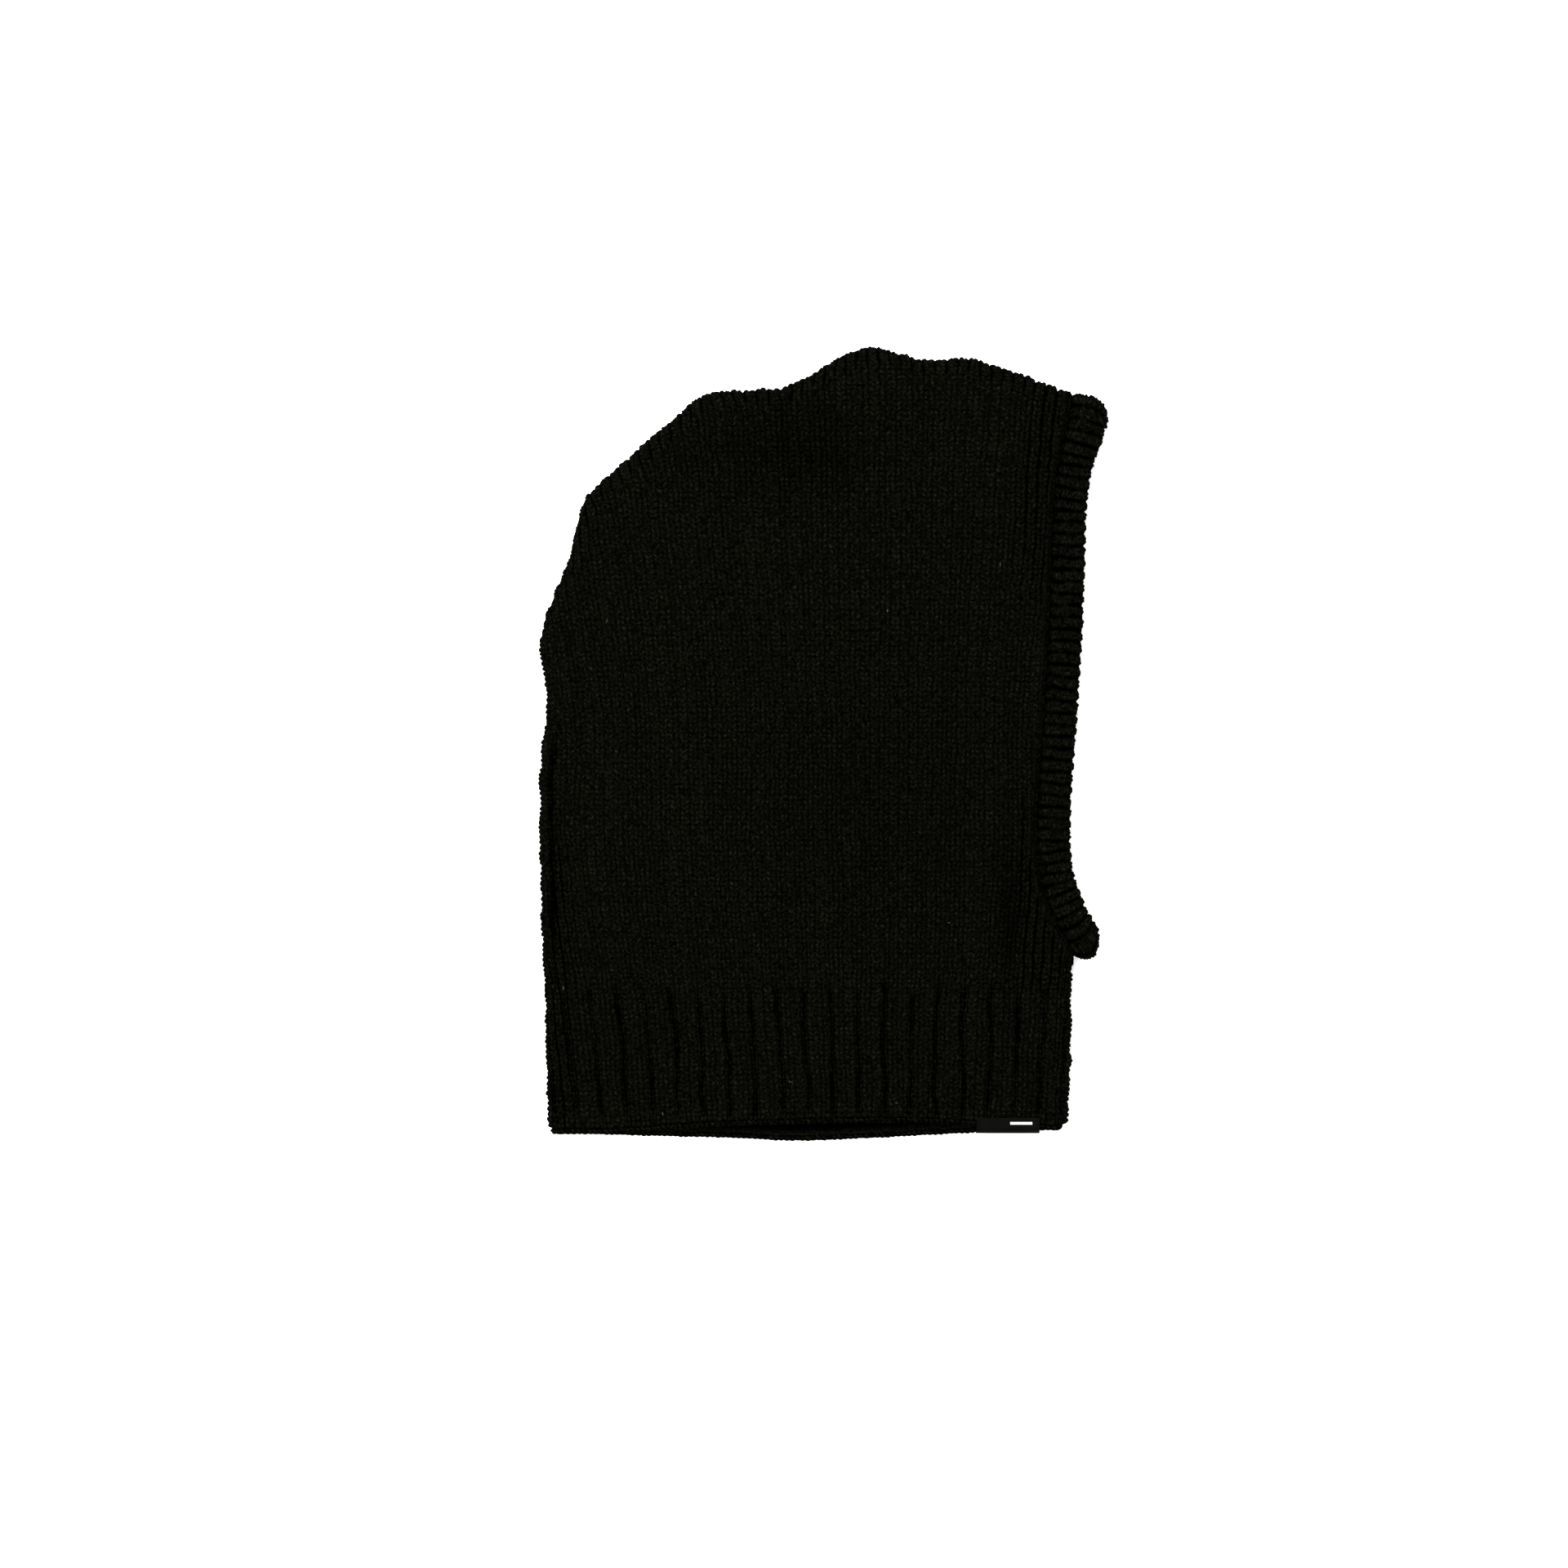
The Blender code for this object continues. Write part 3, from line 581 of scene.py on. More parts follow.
def make_lattice(upper):
    """Every point of one layer: its place in the flat pattern, on the rolled cloth, and on the stitches, and
    the painted shade of its colour.
    """
    side = 1 if upper else -1
    seed = 20 if upper else 30
    across = np.arange(FIRST_WALE * WALE_STEPS, LAST_WALE * WALE_STEPS + 1) / WALE_STEPS
    up = np.arange((RIB_COURSES + BODY_COURSES) * COURSE_STEPS + 1) / COURSE_STEPS
    wales, courses = np.meshgrid(across, up)
    pattern = flat_pattern(wales, courses, upper, seed)
    fold, fold_foot, fold_in = measured_from(FOLD_LINE, pattern)
    front, front_foot, front_in = measured_from(FRONT_LINE, pattern)
    edges = ((fold, fold_foot, fold_in), (front, front_foot, front_in))
    pattern, plan, normal, lift, inside = rolled_over(pattern, edges)

    # Cloth beyond the opening line is brought back to it, and curls down there
    opening, opening_foot, opening_in = measured_from(OPENING_LINE, plan)
    beyond = opening < EDGE_ROOM
    edge = opening_foot + opening_in * EDGE_ROOM
    pattern = np.where(beyond[..., None], pattern + edge - plan, pattern)
    plan = np.where(beyond[..., None], edge, plan)
    inside &= ~beyond
    curl = 1 - np.clip((opening - EDGE_ROOM) / CURL_REACH, 0, 1)
    drop = CURL_DROP * curl**CURL_ROUND
    normal[..., :2] -= opening_in * (CURL_LEAN * curl)[..., None]
    normal[..., 2] = side * lift
    normal = unit(normal)

    scallop, puff = scallops(wales, courses, fold, fold_foot, seed)
    wale_edge = np.clip(1 - SIDE_GROOVE_SHARP * np.minimum(wales % 1, 1 - wales % 1), 0, 1)
    side_groove = SIDE_GROOVE * wale_edge * beside_edges(pattern, plan, fold, opening)
    groove = SCALLOP_DEPTH * puff * scallop + side_groove
    crease = back_crease(wales, plan, fold)
    trough, ribbed = rib_troughs(wales, courses, pattern, seed)

    height = stitch_height(wales, courses, seed)
    sunk = RELIEF * (1 - height) * (1 - SCALLOP_FLATTENS * scallop) + groove + BACK_CREASE * crease
    sunk = sunk * (1 - curl)
    # Painted shade: the colour darkens as the stitches sink, and more beside the crown's scallops and in the
    # rib's sunk wales
    darker = SCALLOP_SHADE * puff * scallop + RIB_SHADE * SHADE_DEPTH * trough * ribbed
    shade = 1 - np.clip((sunk + darker) / SHADE_DEPTH, 0, 1)
    # Painted shade in the upper layer's dips
    if upper:
        shade = shade * (1 - HOLLOW_SHADE * hollows(plan))
    sunk = sunk + RIB_DEPTH * trough * ribbed
    rise = FOLD_RADIUS * lift
    if upper:
        rise = rise + cloth_rise(plan, (fold, front, opening))
    crest = np.concatenate([plan, (SEAM_LEVEL + side * (rise - drop))[..., None]], axis=-1)
    # The painted shade goes out with the points, darker again where the edge curls down at the opening
    return {
        "wales": wales, "courses": courses, "pattern": pattern, "inside": inside, "normal": normal,
        "outer": crest - normal * sunk[..., None], "inner": crest - normal * CLOTH_THICK,
        "height": shade * (1 - CURL_SHADE * curl), "side": side,
    }


def faced_normals(points, guide):
    """Normals of a grid of points, on the guide's side of it."""
    across = np.gradient(points, axis=1)
    up = np.gradient(points, axis=0)
    normals = np.cross(across, up)
    size = np.linalg.norm(normals, axis=-1, keepdims=True)
    normals = np.where(size > 1e-12, normals / np.maximum(size, 1e-12), guide)
    return np.where((normals * guide).sum(-1, keepdims=True) < 0, guide, normals)


def rim_pairs(faces):
    """The directed edges on the border of a set of faces, in the order of the faces' corners."""
    ends = np.stack([faces, np.roll(faces, -1, axis=1)], axis=-1).reshape(-1, 2)
    known = {tuple(pair) for pair in ends.tolist()}
    return [pair for pair in ends.tolist() if (pair[1], pair[0]) not in known]


def mesh_of(name, points, faces):
    """A mesh from points and lists of faces, each list an array of faces with as many corners."""
    mesh = bpy.data.meshes.new(name)
    faces = [np.asarray(part, int) for part in faces if len(part)]
    corners = np.concatenate([part.ravel() for part in faces])
    sizes = np.concatenate([np.full(len(part), part.shape[1]) for part in faces])
    mesh.vertices.add(len(points))
    mesh.vertices.foreach_set("co", np.asarray(points, float).ravel())
    mesh.loops.add(len(corners))
    mesh.loops.foreach_set("vertex_index", corners)
    mesh.polygons.add(len(sizes))
    mesh.polygons.foreach_set("loop_start", np.concatenate([[0], np.cumsum(sizes)[:-1]]))
    mesh.update(calc_edges=True)
    mesh.validate()
    mesh.shade_smooth()
    return mesh


def give_attribute(mesh, name, values):
    mesh.attributes.new(name, "FLOAT", "POINT").data.foreach_set("value", np.asarray(values, float).ravel())


def give_stitch_map(mesh, wales, courses):
    """A UV map that counts legs across and courses up, for the fibres' direction."""
    layer = mesh.uv_layers.new(name="stitches")
    corners = np.empty(len(mesh.loops), int)
    mesh.loops.foreach_get("vertex_index", corners)
    layer.data.foreach_set("uv", np.stack([2 * wales, courses], axis=-1)[corners].ravel())


def add_piece(name, mesh, finish, nodes=()):
    obj = bpy.data.objects.new(name, mesh)
    bpy.context.scene.collection.objects.link(obj)
    obj.data.materials.append(finish)
    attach(obj, "root")
    if nodes:
        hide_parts(*nodes)
    return obj


def grown(mask, steps):
    """The mask of a grid, spread by this many steps."""
    for _ in range(steps):
        wider = mask.copy()
        wider[1:] |= mask[:-1]
        wider[:-1] |= mask[1:]
        wider[:, 1:] |= mask[:, :-1]
        wider[:, :-1] |= mask[:, 1:]
        mask = wider
    return mask


def kept_quads(inside, side):
    """The cells of the grid that have a corner inside the outline, facing out."""
    index = np.arange(inside.size).reshape(inside.shape)
    quads = np.stack([index[:-1, :-1], index[:-1, 1:], index[1:, 1:], index[1:, :-1]], axis=-1)
    quads = quads[inside[:-1, :-1] | inside[:-1, 1:] | inside[1:, 1:] | inside[1:, :-1]]
    return quads[:, ::-1] if side < 0 else quads


def lining_of(used, rim, shape, side):
    """(points, faces) of the inner face: one point a stitch and every point of the rim, out of those used."""
    on_rim = np.unique(rim)
    near_rim = np.zeros(shape, bool)
    near_rim[np.divmod(used[on_rim], shape[1])] = True
    rows, columns = np.divmod(used, shape[1])
    coarse = (rows % COURSE_STEPS == 0) & (columns % (WALE_STEPS // 2) == 0)
    coarse &= ~grown(near_rim, RIM_STEPS)[rows, columns]
    inner = np.concatenate([on_rim, np.flatnonzero(coarse)])
    place = np.full(len(used), -1)
    place[inner] = np.arange(len(inner))
    steps = [Vector((column, row)) for column, row in zip(columns[inner], rows[inner])]
    found = delaunay_2d_cdt(steps, place[rim].tolist(), [], 1, 1e-7)
    source = np.array([inner[ids[0]] for ids in found[3]])
    lining = source[np.array(found[2])]
    return inner, lining[:, ::-1] if side > 0 else lining


def knit_piece(name, lattice, first_course, last_course, finish, nodes):
    """The closed cloth between two courses, knitted outside and plain inside, with its flat size and area."""
    rows = slice(first_course * COURSE_STEPS, last_course * COURSE_STEPS + 1)
    keys = ("wales", "courses", "pattern", "inside", "outer", "inner", "normal", "shade", "height")
    part = {key: lattice[key][rows] for key in keys}
    shape = part["wales"].shape
    quads = kept_quads(part["inside"], lattice["side"])
    rim = rim_pairs(quads)
    used = np.unique(quads)
    new_index = np.full(part["wales"].size, -1)
    new_index[used] = np.arange(len(used))
    quads, rim = new_index[quads], new_index[np.array(rim)]
    inner, lining = lining_of(used, rim, shape, lattice["side"])

    flat = {key: value.reshape(part["wales"].size, -1)[used] for key, value in part.items()}
    inner_of = np.full(len(used), -1)
    inner_of[inner] = len(used) + np.arange(len(inner))
    walls = np.stack([rim[:, 1], rim[:, 0], inner_of[rim[:, 0]], inner_of[rim[:, 1]]], axis=-1)
    mesh = mesh_of(name, np.vstack([flat["outer"], flat["inner"][inner]]), [quads, walls, inner_of[lining]])
    wales = np.concatenate([flat["wales"].ravel(), flat["wales"].ravel()[inner]])
    courses = np.concatenate([flat["courses"].ravel(), flat["courses"].ravel()[inner]])
    # Painted shade on the inner face, darker further up between the layers
    lining_height = np.interp(courses[len(used):], *LINING_SHADE)
    give_attribute(mesh, "height", np.concatenate([flat["height"].ravel(), lining_height]))
    give_stitch_map(mesh, wales, courses)
    mesh.normals_split_custom_set_from_vertices(np.vstack([flat["shade"], -flat["normal"][inner]]).tolist())

    corner = flat["pattern"][quads]
    diagonals = corner[:, 2] - corner[:, 0], corner[:, 3] - corner[:, 1]
    area = np.abs(np.cross(*diagonals)).sum() / 2
    return add_piece(name, mesh, finish, nodes), tuple(np.ptp(flat["pattern"], axis=0)), area


# Round the face opening


def belt_frames(radius, count):
    """Evenly spaced (middle, across, outward) round the face opening, this far from the seam level.

    They go up the upper layer, turn at the forehead, come down the lower layer and turn at the chin.
    """
    whole = lengths_along(OPENING)[-1]
    run = points_at(OPENING, np.linspace(FOLD_RADIUS, whole - FOLD_RADIUS, 121))
    ways = unit(np.gradient(run, axis=0))
    angles = np.linspace(math.pi / 2, -math.pi / 2, 25)[1:-1]
    top = [(place, way, math.pi / 2) for place, way in zip(run, ways)]
    forehead = [(run[-1], ways[-1], angle) for angle in angles]
    bottom = [(place, way, -math.pi / 2) for place, way in zip(run[::-1], ways[::-1])]
    chin = [(run[0], -ways[0], angle) for angle in angles[::-1]]
    middles, acrosses, outwards = [], [], []
    for stations, turned in ((top, 1), (forehead, 1), (bottom, 1), (chin, -1)):
        for place, way, angle in stations:
            outward = np.array([*(way * math.cos(angle)), math.sin(angle)])
            middles.append(np.array([*place, SEAM_LEVEL]) + outward * radius)
            outwards.append(outward)
            acrosses.append(np.array([way[1], -way[0], 0]) * turned)
    loop = np.array([*middles, middles[0]])
    frames = np.hstack([loop, np.array([*acrosses, acrosses[0]]), np.array([*outwards, outwards[0]])])
    run = lengths_along(loop)
    distances = np.linspace(0, run[-1], count, endpoint=False)
    even = np.stack([np.interp(distances, run, axis) for axis in frames.T], axis=1)
    return even[:, :3], unit(even[:, 3:6]), unit(even[:, 6:]), run[-1]


def band_section(width, steps):
    """(across, outward) places round the band's section: two flat faces between round edges."""
    half = BAND_THICK / 2
    angles = np.radians(np.linspace(180, -180, 33))
    outline = np.column_stack([np.where(np.cos(angles) < 0, EDGE_ROOM + half, width - half)
                               + half * np.cos(angles), half * np.sin(angles)])
    run = lengths_along(outline)
    return points_at(outline, np.linspace(0, run[-1], steps, endpoint=False))


def wrapped_normals(points):
    along = np.roll(points, -1, axis=0) - np.roll(points, 1, axis=0)
    around = np.roll(points, -1, axis=1) - np.roll(points, 1, axis=1)
    return unit(np.cross(along, around))


def torus_quads(count, around):
    i, j = np.meshgrid(np.arange(count), np.arange(around), indexing="ij")
    after_i, after_j = (i + 1) % count, (j + 1) % around
    corners = [i * around + j, i * around + after_j, after_i * around + after_j, after_i * around + j]
    return np.stack(corners, axis=-1).reshape(-1, 4)


def round_corner(place, length, depth):
    """How far a corner of the band falls back, at these places across it in millimetres."""
    corner = np.clip((place - BAND_CORNER_FROM) / length, 0, MOST_BAND_CORNER)
    return depth * (1 - np.sqrt(1 - corner**2))


def rounded_ends(crest, across):
    """The band's crest, with a bulb at the forehead and a blunt round tip at the chin."""
    place = across / MM
    forehead_way = unit(OPENING[-1] - OPENING[-8])
    notch = np.clip(FOREHEAD_NOTCH - place, 0, FOREHEAD_NOTCH)**2 / FOREHEAD_NOTCH_ROUND
    back = round_corner(place, FOREHEAD_CORNER, FOREHEAD_BACK) + notch
    away = (OPENING[-1] - crest[..., :2]) @ forehead_way
    shift = -forehead_way * (back * MM * np.exp(-(away / BAND_END_REACH)**2))[..., None]
    chin_way = unit(OPENING[4] - OPENING[0])
    swell = CHIN_SWELL * np.sin(math.pi * np.clip(place / CHIN_SWELL_REACH, 0, 1))
    back = round_corner(place, CHIN_CORNER, CHIN_BACK) - swell
    away = (crest[..., :2] - OPENING[0]) @ chin_way
    shift = shift + chin_way * (back * MM * np.exp(-(away / BAND_END_REACH)**2))[..., None]
    return crest + np.concatenate([shift, np.zeros((*place.shape, 1))], axis=-1)


def band_height(ribs, rounds):
    """The relief of the band's stitches, from 0 in the sunk wales to about 1 on the knit ones."""
    share = (ribs + BAND_WOBBLE * soft_noise(43, ribs / 1.5, rounds / 4, 1)) % 1
    edge = BAND_GAP + BAND_GAP_SPREAD * soft_noise(41, ribs * 1.5, rounds / 4, 1)
    knit = np.sin(math.pi * np.clip((share - edge) / (1 - 2 * edge), 0, 1))**BAND_ROUND
    uneven = 1 - BAND_SPREAD + BAND_SPREAD * soft_noise(44, ribs, rounds / 3, 1)
    knit = 1 - (1 - knit) * uneven
    split = 1 - BAND_SPLIT * np.clip(1 - np.abs(share - 0.5) / BAND_SPLIT_WIDE, 0, 1)
    slant = BAND_SLANT * np.abs(2 * share - 1)
    tuck = BAND_TUCK + (1 - BAND_TUCK) * np.sin(math.pi * ((rounds + slant) % 1))**BAND_TUCK_ROUND
    spread = 1 + BAND_STITCH_SPREAD * each_stitch(40, 2 * ribs, rounds)
    spread = spread + YARN_ROUGH * soft_noise(45, 4 * ribs, 2 * rounds, 1)
    return np.clip(knit * split * tuck * spread, 0, BAND_MOST_HEIGHT)


def make_band(finish):
    """The doubled strip, in a rib of one knit wale and one sunk wale that runs across it."""
    count, around = BAND_RIBS * RIB_STEPS, BAND_COURSES * COURSE_STEPS * 2
    middle, across, outward, length = belt_frames(FOLD_RADIUS - BAND_THICK / 2, count)
    ribs = np.arange(count)[:, None] / RIB_STEPS + np.zeros(around)
    rounds = np.arange(around)[None, :] / COURSE_STEPS + np.zeros((count, 1))
    forehead = OPENING[-1]
    reach = np.linalg.norm(middle[:, :2] - forehead, axis=1) / BAND_BULGE_REACH
    bulge = ease(1 - reach)[:, None, None]
    narrow = band_section(BAND_WIDTH, around)[None]
    wide = band_section(BAND_WIDTH + BAND_BULGE, around)[None]
    section = narrow + (wide - narrow) * bulge
    crest = middle[:, None] + across[:, None] * section[..., :1] + outward[:, None] * section[..., 1:]
    crest = rounded_ends(crest, section[..., 0])
    normal = wrapped_normals(crest)
    guide = outward[:, None] * section[..., 1:] + across[:, None] * (section[..., :1] - BAND_WIDTH / 2)
    if (normal * guide).sum() < 0:
        normal = -normal
    height = band_height(ribs, rounds)
    from_seam = ease(section[..., 0] / BAND_SEAM_REACH)
    points = crest - normal * (BAND_RELIEF * (1 - height) * from_seam)[..., None]
    # Painted shade: darker towards the seam with the hood, and the whole band's colour scaled down
    height = BAND_SHADE * height * (BAND_SEAM_SHADE + (1 - BAND_SEAM_SHADE) * from_seam)
    quads = torus_quads(count, around)
    mesh = mesh_of("face_band_knit", points.reshape(-1, 3), [quads])
    give_attribute(mesh, "height", height)
    give_stitch_map(mesh, ribs.ravel(), rounds.ravel())
    obj = add_piece("face_band_knit", mesh, finish, ["face_band"])
    outer = (height > 0.4) & (section[..., 0] > 0.8 * BAND_WIDTH)
    chosen = np.random.default_rng(90).choice(np.flatnonzero(outer), BAND_FIBRES)
    roots, normals = points.reshape(-1, 3)[chosen], normal.reshape(-1, 3)[chosen]
    make_fuzz("face_band_fuzz", roots, normals, finish, 91)


# Cords of twisted yarn


def carried_frames(path, closed):
    """Two directions square to the path at each of its points, turned as little as possible along it."""
    if closed:
        ways = unit(np.roll(path, -1, axis=0) - np.roll(path, 1, axis=0))
    else:
        ways = unit(np.gradient(path, axis=0))
    first = np.empty_like(path)
    guide = np.array([0, 0, 1.0]) if abs(ways[0][2]) < 0.9 else np.array([1.0, 0, 0])
    for i, way in enumerate(ways):
        guide = unit(guide - way * (guide @ way))
        first[i] = guide
    return first, np.cross(ways, first)


def yarn_cord(name, path, radius, lay, finish, nodes, closed=False, plies=2, sides=7):
    """A cord of plies twisted round each other, once in each lay's length."""
    whole = lengths_along(np.vstack([path, path[:1]]) if closed else path)[-1]
    turns = max(1, round(whole / lay))
    count = turns * 10
    if closed:
        path = points_at(np.vstack([path, path[:1]]), np.linspace(0, whole, count, endpoint=False))
    else:
        path = points_at(path, np.linspace(0, whole, count))
    first, second = carried_frames(path, closed)
    points, faces = [], []
    angles = 2 * math.pi * np.arange(sides) / sides
    for ply in range(plies):
        turn = 2 * math.pi * (np.arange(count) / (count if closed else count - 1) * turns + ply / plies)
        swing = np.cos(turn)[:, None] * first + np.sin(turn)[:, None] * second
        centre = path + swing * radius * 0.45
        ring = (np.cos(angles)[None, :, None] * first[:, None]
                + np.sin(angles)[None, :, None] * second[:, None]) * radius * 0.58
        tube = (centre[:, None] + ring).reshape(-1, 3)
        start = ply * count * sides
        quads = torus_quads(count, sides)
        if not closed:
            quads = quads[:(count - 1) * sides]
            faces.append(start + np.arange(sides)[None, ::-1])
            faces.append(start + (count - 1) * sides + np.arange(sides)[None, :])
        points.append(tube)
        faces.append(start + quads)
    mesh = mesh_of(name, np.vstack(points), faces)
    return add_piece(name, mesh, finish, nodes)


def chain_cord(name, path, radius, pitch, finish, nodes, closed=False):
    """A chain of stitches along the path: wales of loops round a thin tube."""
    ends = np.vstack([path, path[:1]]) if closed else path
    whole = lengths_along(ends)[-1]
    count = round(whole / pitch) * CHAIN_STEPS
    path = points_at(ends, np.linspace(0, whole, count, endpoint=not closed))
    first, second = carried_frames(path, closed)
    i, j = np.meshgrid(np.arange(count), np.arange(CHAIN_AROUND), indexing="ij")
    wales, courses = CHAIN_WALES * j / CHAIN_AROUND + CHAIN_TURN, i / CHAIN_STEPS
    height = stitch_height(wales, courses + SLANT * from_middle(wales), 50)
    angle = 2 * math.pi * j / CHAIN_AROUND
    reach = radius * (1 - CHAIN_RELIEF * (1 - height))
    spoke = np.cos(angle)[..., None] * first[:, None] + np.sin(angle)[..., None] * second[:, None]
    points = (path[:, None] + spoke * reach[..., None]).reshape(-1, 3)
    faces = [torus_quads(count, CHAIN_AROUND)]
    if not closed:
        faces = [faces[0][:(count - 1) * CHAIN_AROUND], np.arange(CHAIN_AROUND)[None, ::-1],
                 (count - 1) * CHAIN_AROUND + np.arange(CHAIN_AROUND)[None, :]]
    mesh = mesh_of(name, points, faces)
    # The relief also sets the painted shade in the chain's grooves
    give_attribute(mesh, "height", height)
    give_stitch_map(mesh, wales.ravel(), courses.ravel())
    return add_piece(name, mesh, finish, nodes)


def offset_line(line, room):
    """The line moved this far to the right of its way."""
    ways = unit(np.gradient(line, axis=0))
    return line + np.stack([ways[:, 1], -ways[:, 0]], axis=1) * room


def at_height(plan, z):
    return np.column_stack([plan, np.full(len(plan), z)])


def make_cords(finish, chain_finish):
    """The linking seam, the inner seams, the band's end join and the cast-off edges."""
    middle, _, _, _ = belt_frames(FOLD_RADIUS - CLOTH_THICK / 2, 400)
    chain_cord("band_linking_chain", middle, LINK_RADIUS, LINK_PITCH, finish, ["band_linking_seam"],
               closed=True)
    room = CLOTH_THICK + SEAM_RADIUS + SEAM_ROOM
    ridge = offset_line(np.vstack([BACK, CROWN[1:]]), room)
    ridge = points_at(ridge, np.arange(0, lengths_along(ridge)[-1] - FOLD_RADIUS, SEAM_LAY))
    yarn_cord("back_and_crown_ridge", at_height(ridge, SEAM_LEVEL), SEAM_RADIUS, SEAM_LAY, finish,
              ["back_and_crown_seam"])
    ridge = offset_line(FRONT[::-1], room)
    ridge = points_at(ridge, np.arange(FOLD_RADIUS, lengths_along(ridge)[-1], SEAM_LAY))
    yarn_cord("front_neck_ridge", at_height(ridge, SEAM_LEVEL), SEAM_RADIUS, SEAM_LAY, finish,
              ["front_neck_seam"])
    place = points_at(OPENING, np.array([FOLD_RADIUS, FOLD_RADIUS + MM]))
    way = unit(place[1] - place[0])
    across = np.array([way[1], -way[0]])
    reach = FOLD_RADIUS - BAND_THICK - LINK_RADIUS - JOIN_GAP
    along = np.linspace(2.5 * LINK_ROOM, BAND_WIDTH - 2 * LINK_ROOM, 12)[:, None]
    join = at_height(place[0] - way * reach + across * along, SEAM_LEVEL)
    yarn_cord("band_end_stitching", join, LINK_RADIUS, JOIN_LAY, finish, ["band_end_join"])
    for side_name, hem, side in (("right", UPPER_HEM, 1), ("left", LOWER_HEM, -1)):
        path = hem_path(hem, side)
        chain_cord(f"{side_name}_cast_off_chain", path, CHAIN_RADIUS, CAST_OFF_PITCH, chain_finish,
                   [f"{side_name}_cast_off_edge"])
        cord_fuzz(f"{side_name}_hem_fuzz", path, 0.8 * CHAIN_RADIUS, CHAIN_FIBRES, chain_finish,
                  100 + 10 * side)


def hem_path(hem, side):
    """Along one layer's hem, from one rolled edge to the other."""
    middle = FOLD_RADIUS - CLOTH_THICK / 2
    back_x, front_x = BACK[0][0], FRONT[0][0]
    angles = np.linspace(CHAIN_START, math.pi / 2, 6)
    x = np.concatenate([back_x + FOLD_RADIUS - middle * np.cos(angles),
                        np.linspace(back_x + FOLD_RADIUS, front_x - FOLD_RADIUS, 40)[1:-1],
                        front_x - FOLD_RADIUS + middle * np.cos(angles[::-1])])
    rise = np.concatenate([middle * np.sin(angles), np.full(38, middle), middle * np.sin(angles[::-1])])
    return np.column_stack([x, hem_at(hem, x) + CHAIN_RADIUS, SEAM_LEVEL + side * rise])


# Label


def rounded_bar(start, end, radius, sag=0.0, steps=6, sides=8):
    """(points, faces) of a short length of thread that arches up between two points."""
    start, end = np.array(start, float), np.array(end, float)
    way = unit(end - start)
    side = unit(np.cross(way, (0, 0, 1.0)))
    up = np.cross(side, way)
    angles = 2 * math.pi * np.arange(sides) / sides
    rings = []
    for share in np.linspace(0, 1, steps + 1):
        slim = max(0.25, math.sin(math.pi * (0.08 + 0.84 * share))**0.5)
        centre = start + (end - start) * share + up * sag * (math.sin(math.pi * share) - 1)
        rings.append(centre + radius * slim * (np.cos(angles)[:, None] * side + np.sin(angles)[:, None] * up))
    points = np.vstack(rings)
    quads = torus_quads(steps + 1, sides)[:steps * sides]
    caps = [np.arange(sides)[None, ::-1], steps * sides + np.arange(sides)[None, :]]
    return points, [quads, *caps]


def threads_piece(name, bars, finish, node):
    """One piece from several lengths of thread."""
    points, faces, count = [], [], 0
    for bar_points, bar_faces in bars:
        points.append(bar_points)
        faces.extend(part + count for part in bar_faces)
        count += len(bar_points)
    return add_piece(name, mesh_of(name, np.vstack(points), faces), finish, [node])


def label_fold():
    """(the label's middle line from front to back over the hem, its radius there, how high its middle lies).
    """
    low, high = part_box("hem_label")
    half = LABEL_THICK / 2
    bend = (high[2] - low[2]) / 2 - half
    middle_z = (low[2] + high[2]) / 2
    flat_y = np.linspace(high[1], low[1] + bend + half, 13)
    angles = np.radians(np.linspace(90, -90, 17)[1:-1])
    centre = np.array([low[1] + bend + half, middle_z])
    line = np.vstack([np.column_stack([flat_y, np.full(13, middle_z + bend)]),
                      centre + bend * np.column_stack([-np.cos(angles), np.sin(angles)]),
                      np.column_stack([flat_y[::-1], np.full(13, middle_z - bend)])])
    return line, bend, middle_z


def make_tab(satin):
    """The woven tab folded over the hem, and its flat size."""
    low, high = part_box("hem_label")
    line, bend, middle_z = label_fold()
    half = LABEL_THICK / 2
    ways = unit(np.gradient(line, axis=0))
    outs = np.column_stack([ways[:, 1], -ways[:, 0]])
    outs *= np.sign(outs[0, 1])
    ring = np.vstack([line + outs * half, (line - outs * half)[::-1]])
    columns = np.linspace(low[0], high[0], LABEL_COLUMNS)
    i, j = np.meshgrid(np.arange(len(columns)), np.arange(len(ring)), indexing="ij")
    on_top = np.clip((ring[j, 1] - middle_z) / bend, 0, 1)
    wave = LABEL_WAVE * soft_noise(60, columns, columns * 0, LABEL_WAVE_CELL)[i] * on_top
    points = np.stack([columns[i], ring[j, 0], ring[j, 1] + wave], axis=-1)
    around = len(ring)
    quads = torus_quads(len(columns), around)[:(len(columns) - 1) * around]
    strip = np.arange(len(line) - 1)
    cap = np.stack([strip, strip + 1, around - 2 - strip, around - 1 - strip], axis=-1)
    faces = [quads[:, ::-1], cap[:, ::-1], cap + (len(columns) - 1) * around]
    mesh = mesh_of("hem_label_satin", points.reshape(-1, 3), faces)
    run = np.concatenate([lengths_along(line), lengths_along(line)[::-1]])
    give_stitch_map(mesh, columns[i].ravel() / MM, run[j].ravel() / MM)
    label = add_piece("hem_label_satin", mesh, satin, ["hem_label"])
    return label, (high[0] - low[0], lengths_along(line)[-1])


def make_label_stitches(row, top, thread):
    low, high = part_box(f"label_stitching_{row}")
    x, z = (low[0] + high[0]) / 2, top + LABEL_THREAD
    ends = np.linspace(low[1], high[1], LABEL_STITCHES + 1)
    bars = [rounded_bar((x, y + STITCH_GAP, z), (x, after - STITCH_GAP, z), LABEL_THREAD, STITCH_SAG)
            for y, after in zip(ends, ends[1:])]
    threads_piece(f"label_stitches_{row}", bars, thread, f"label_stitching_{row}")


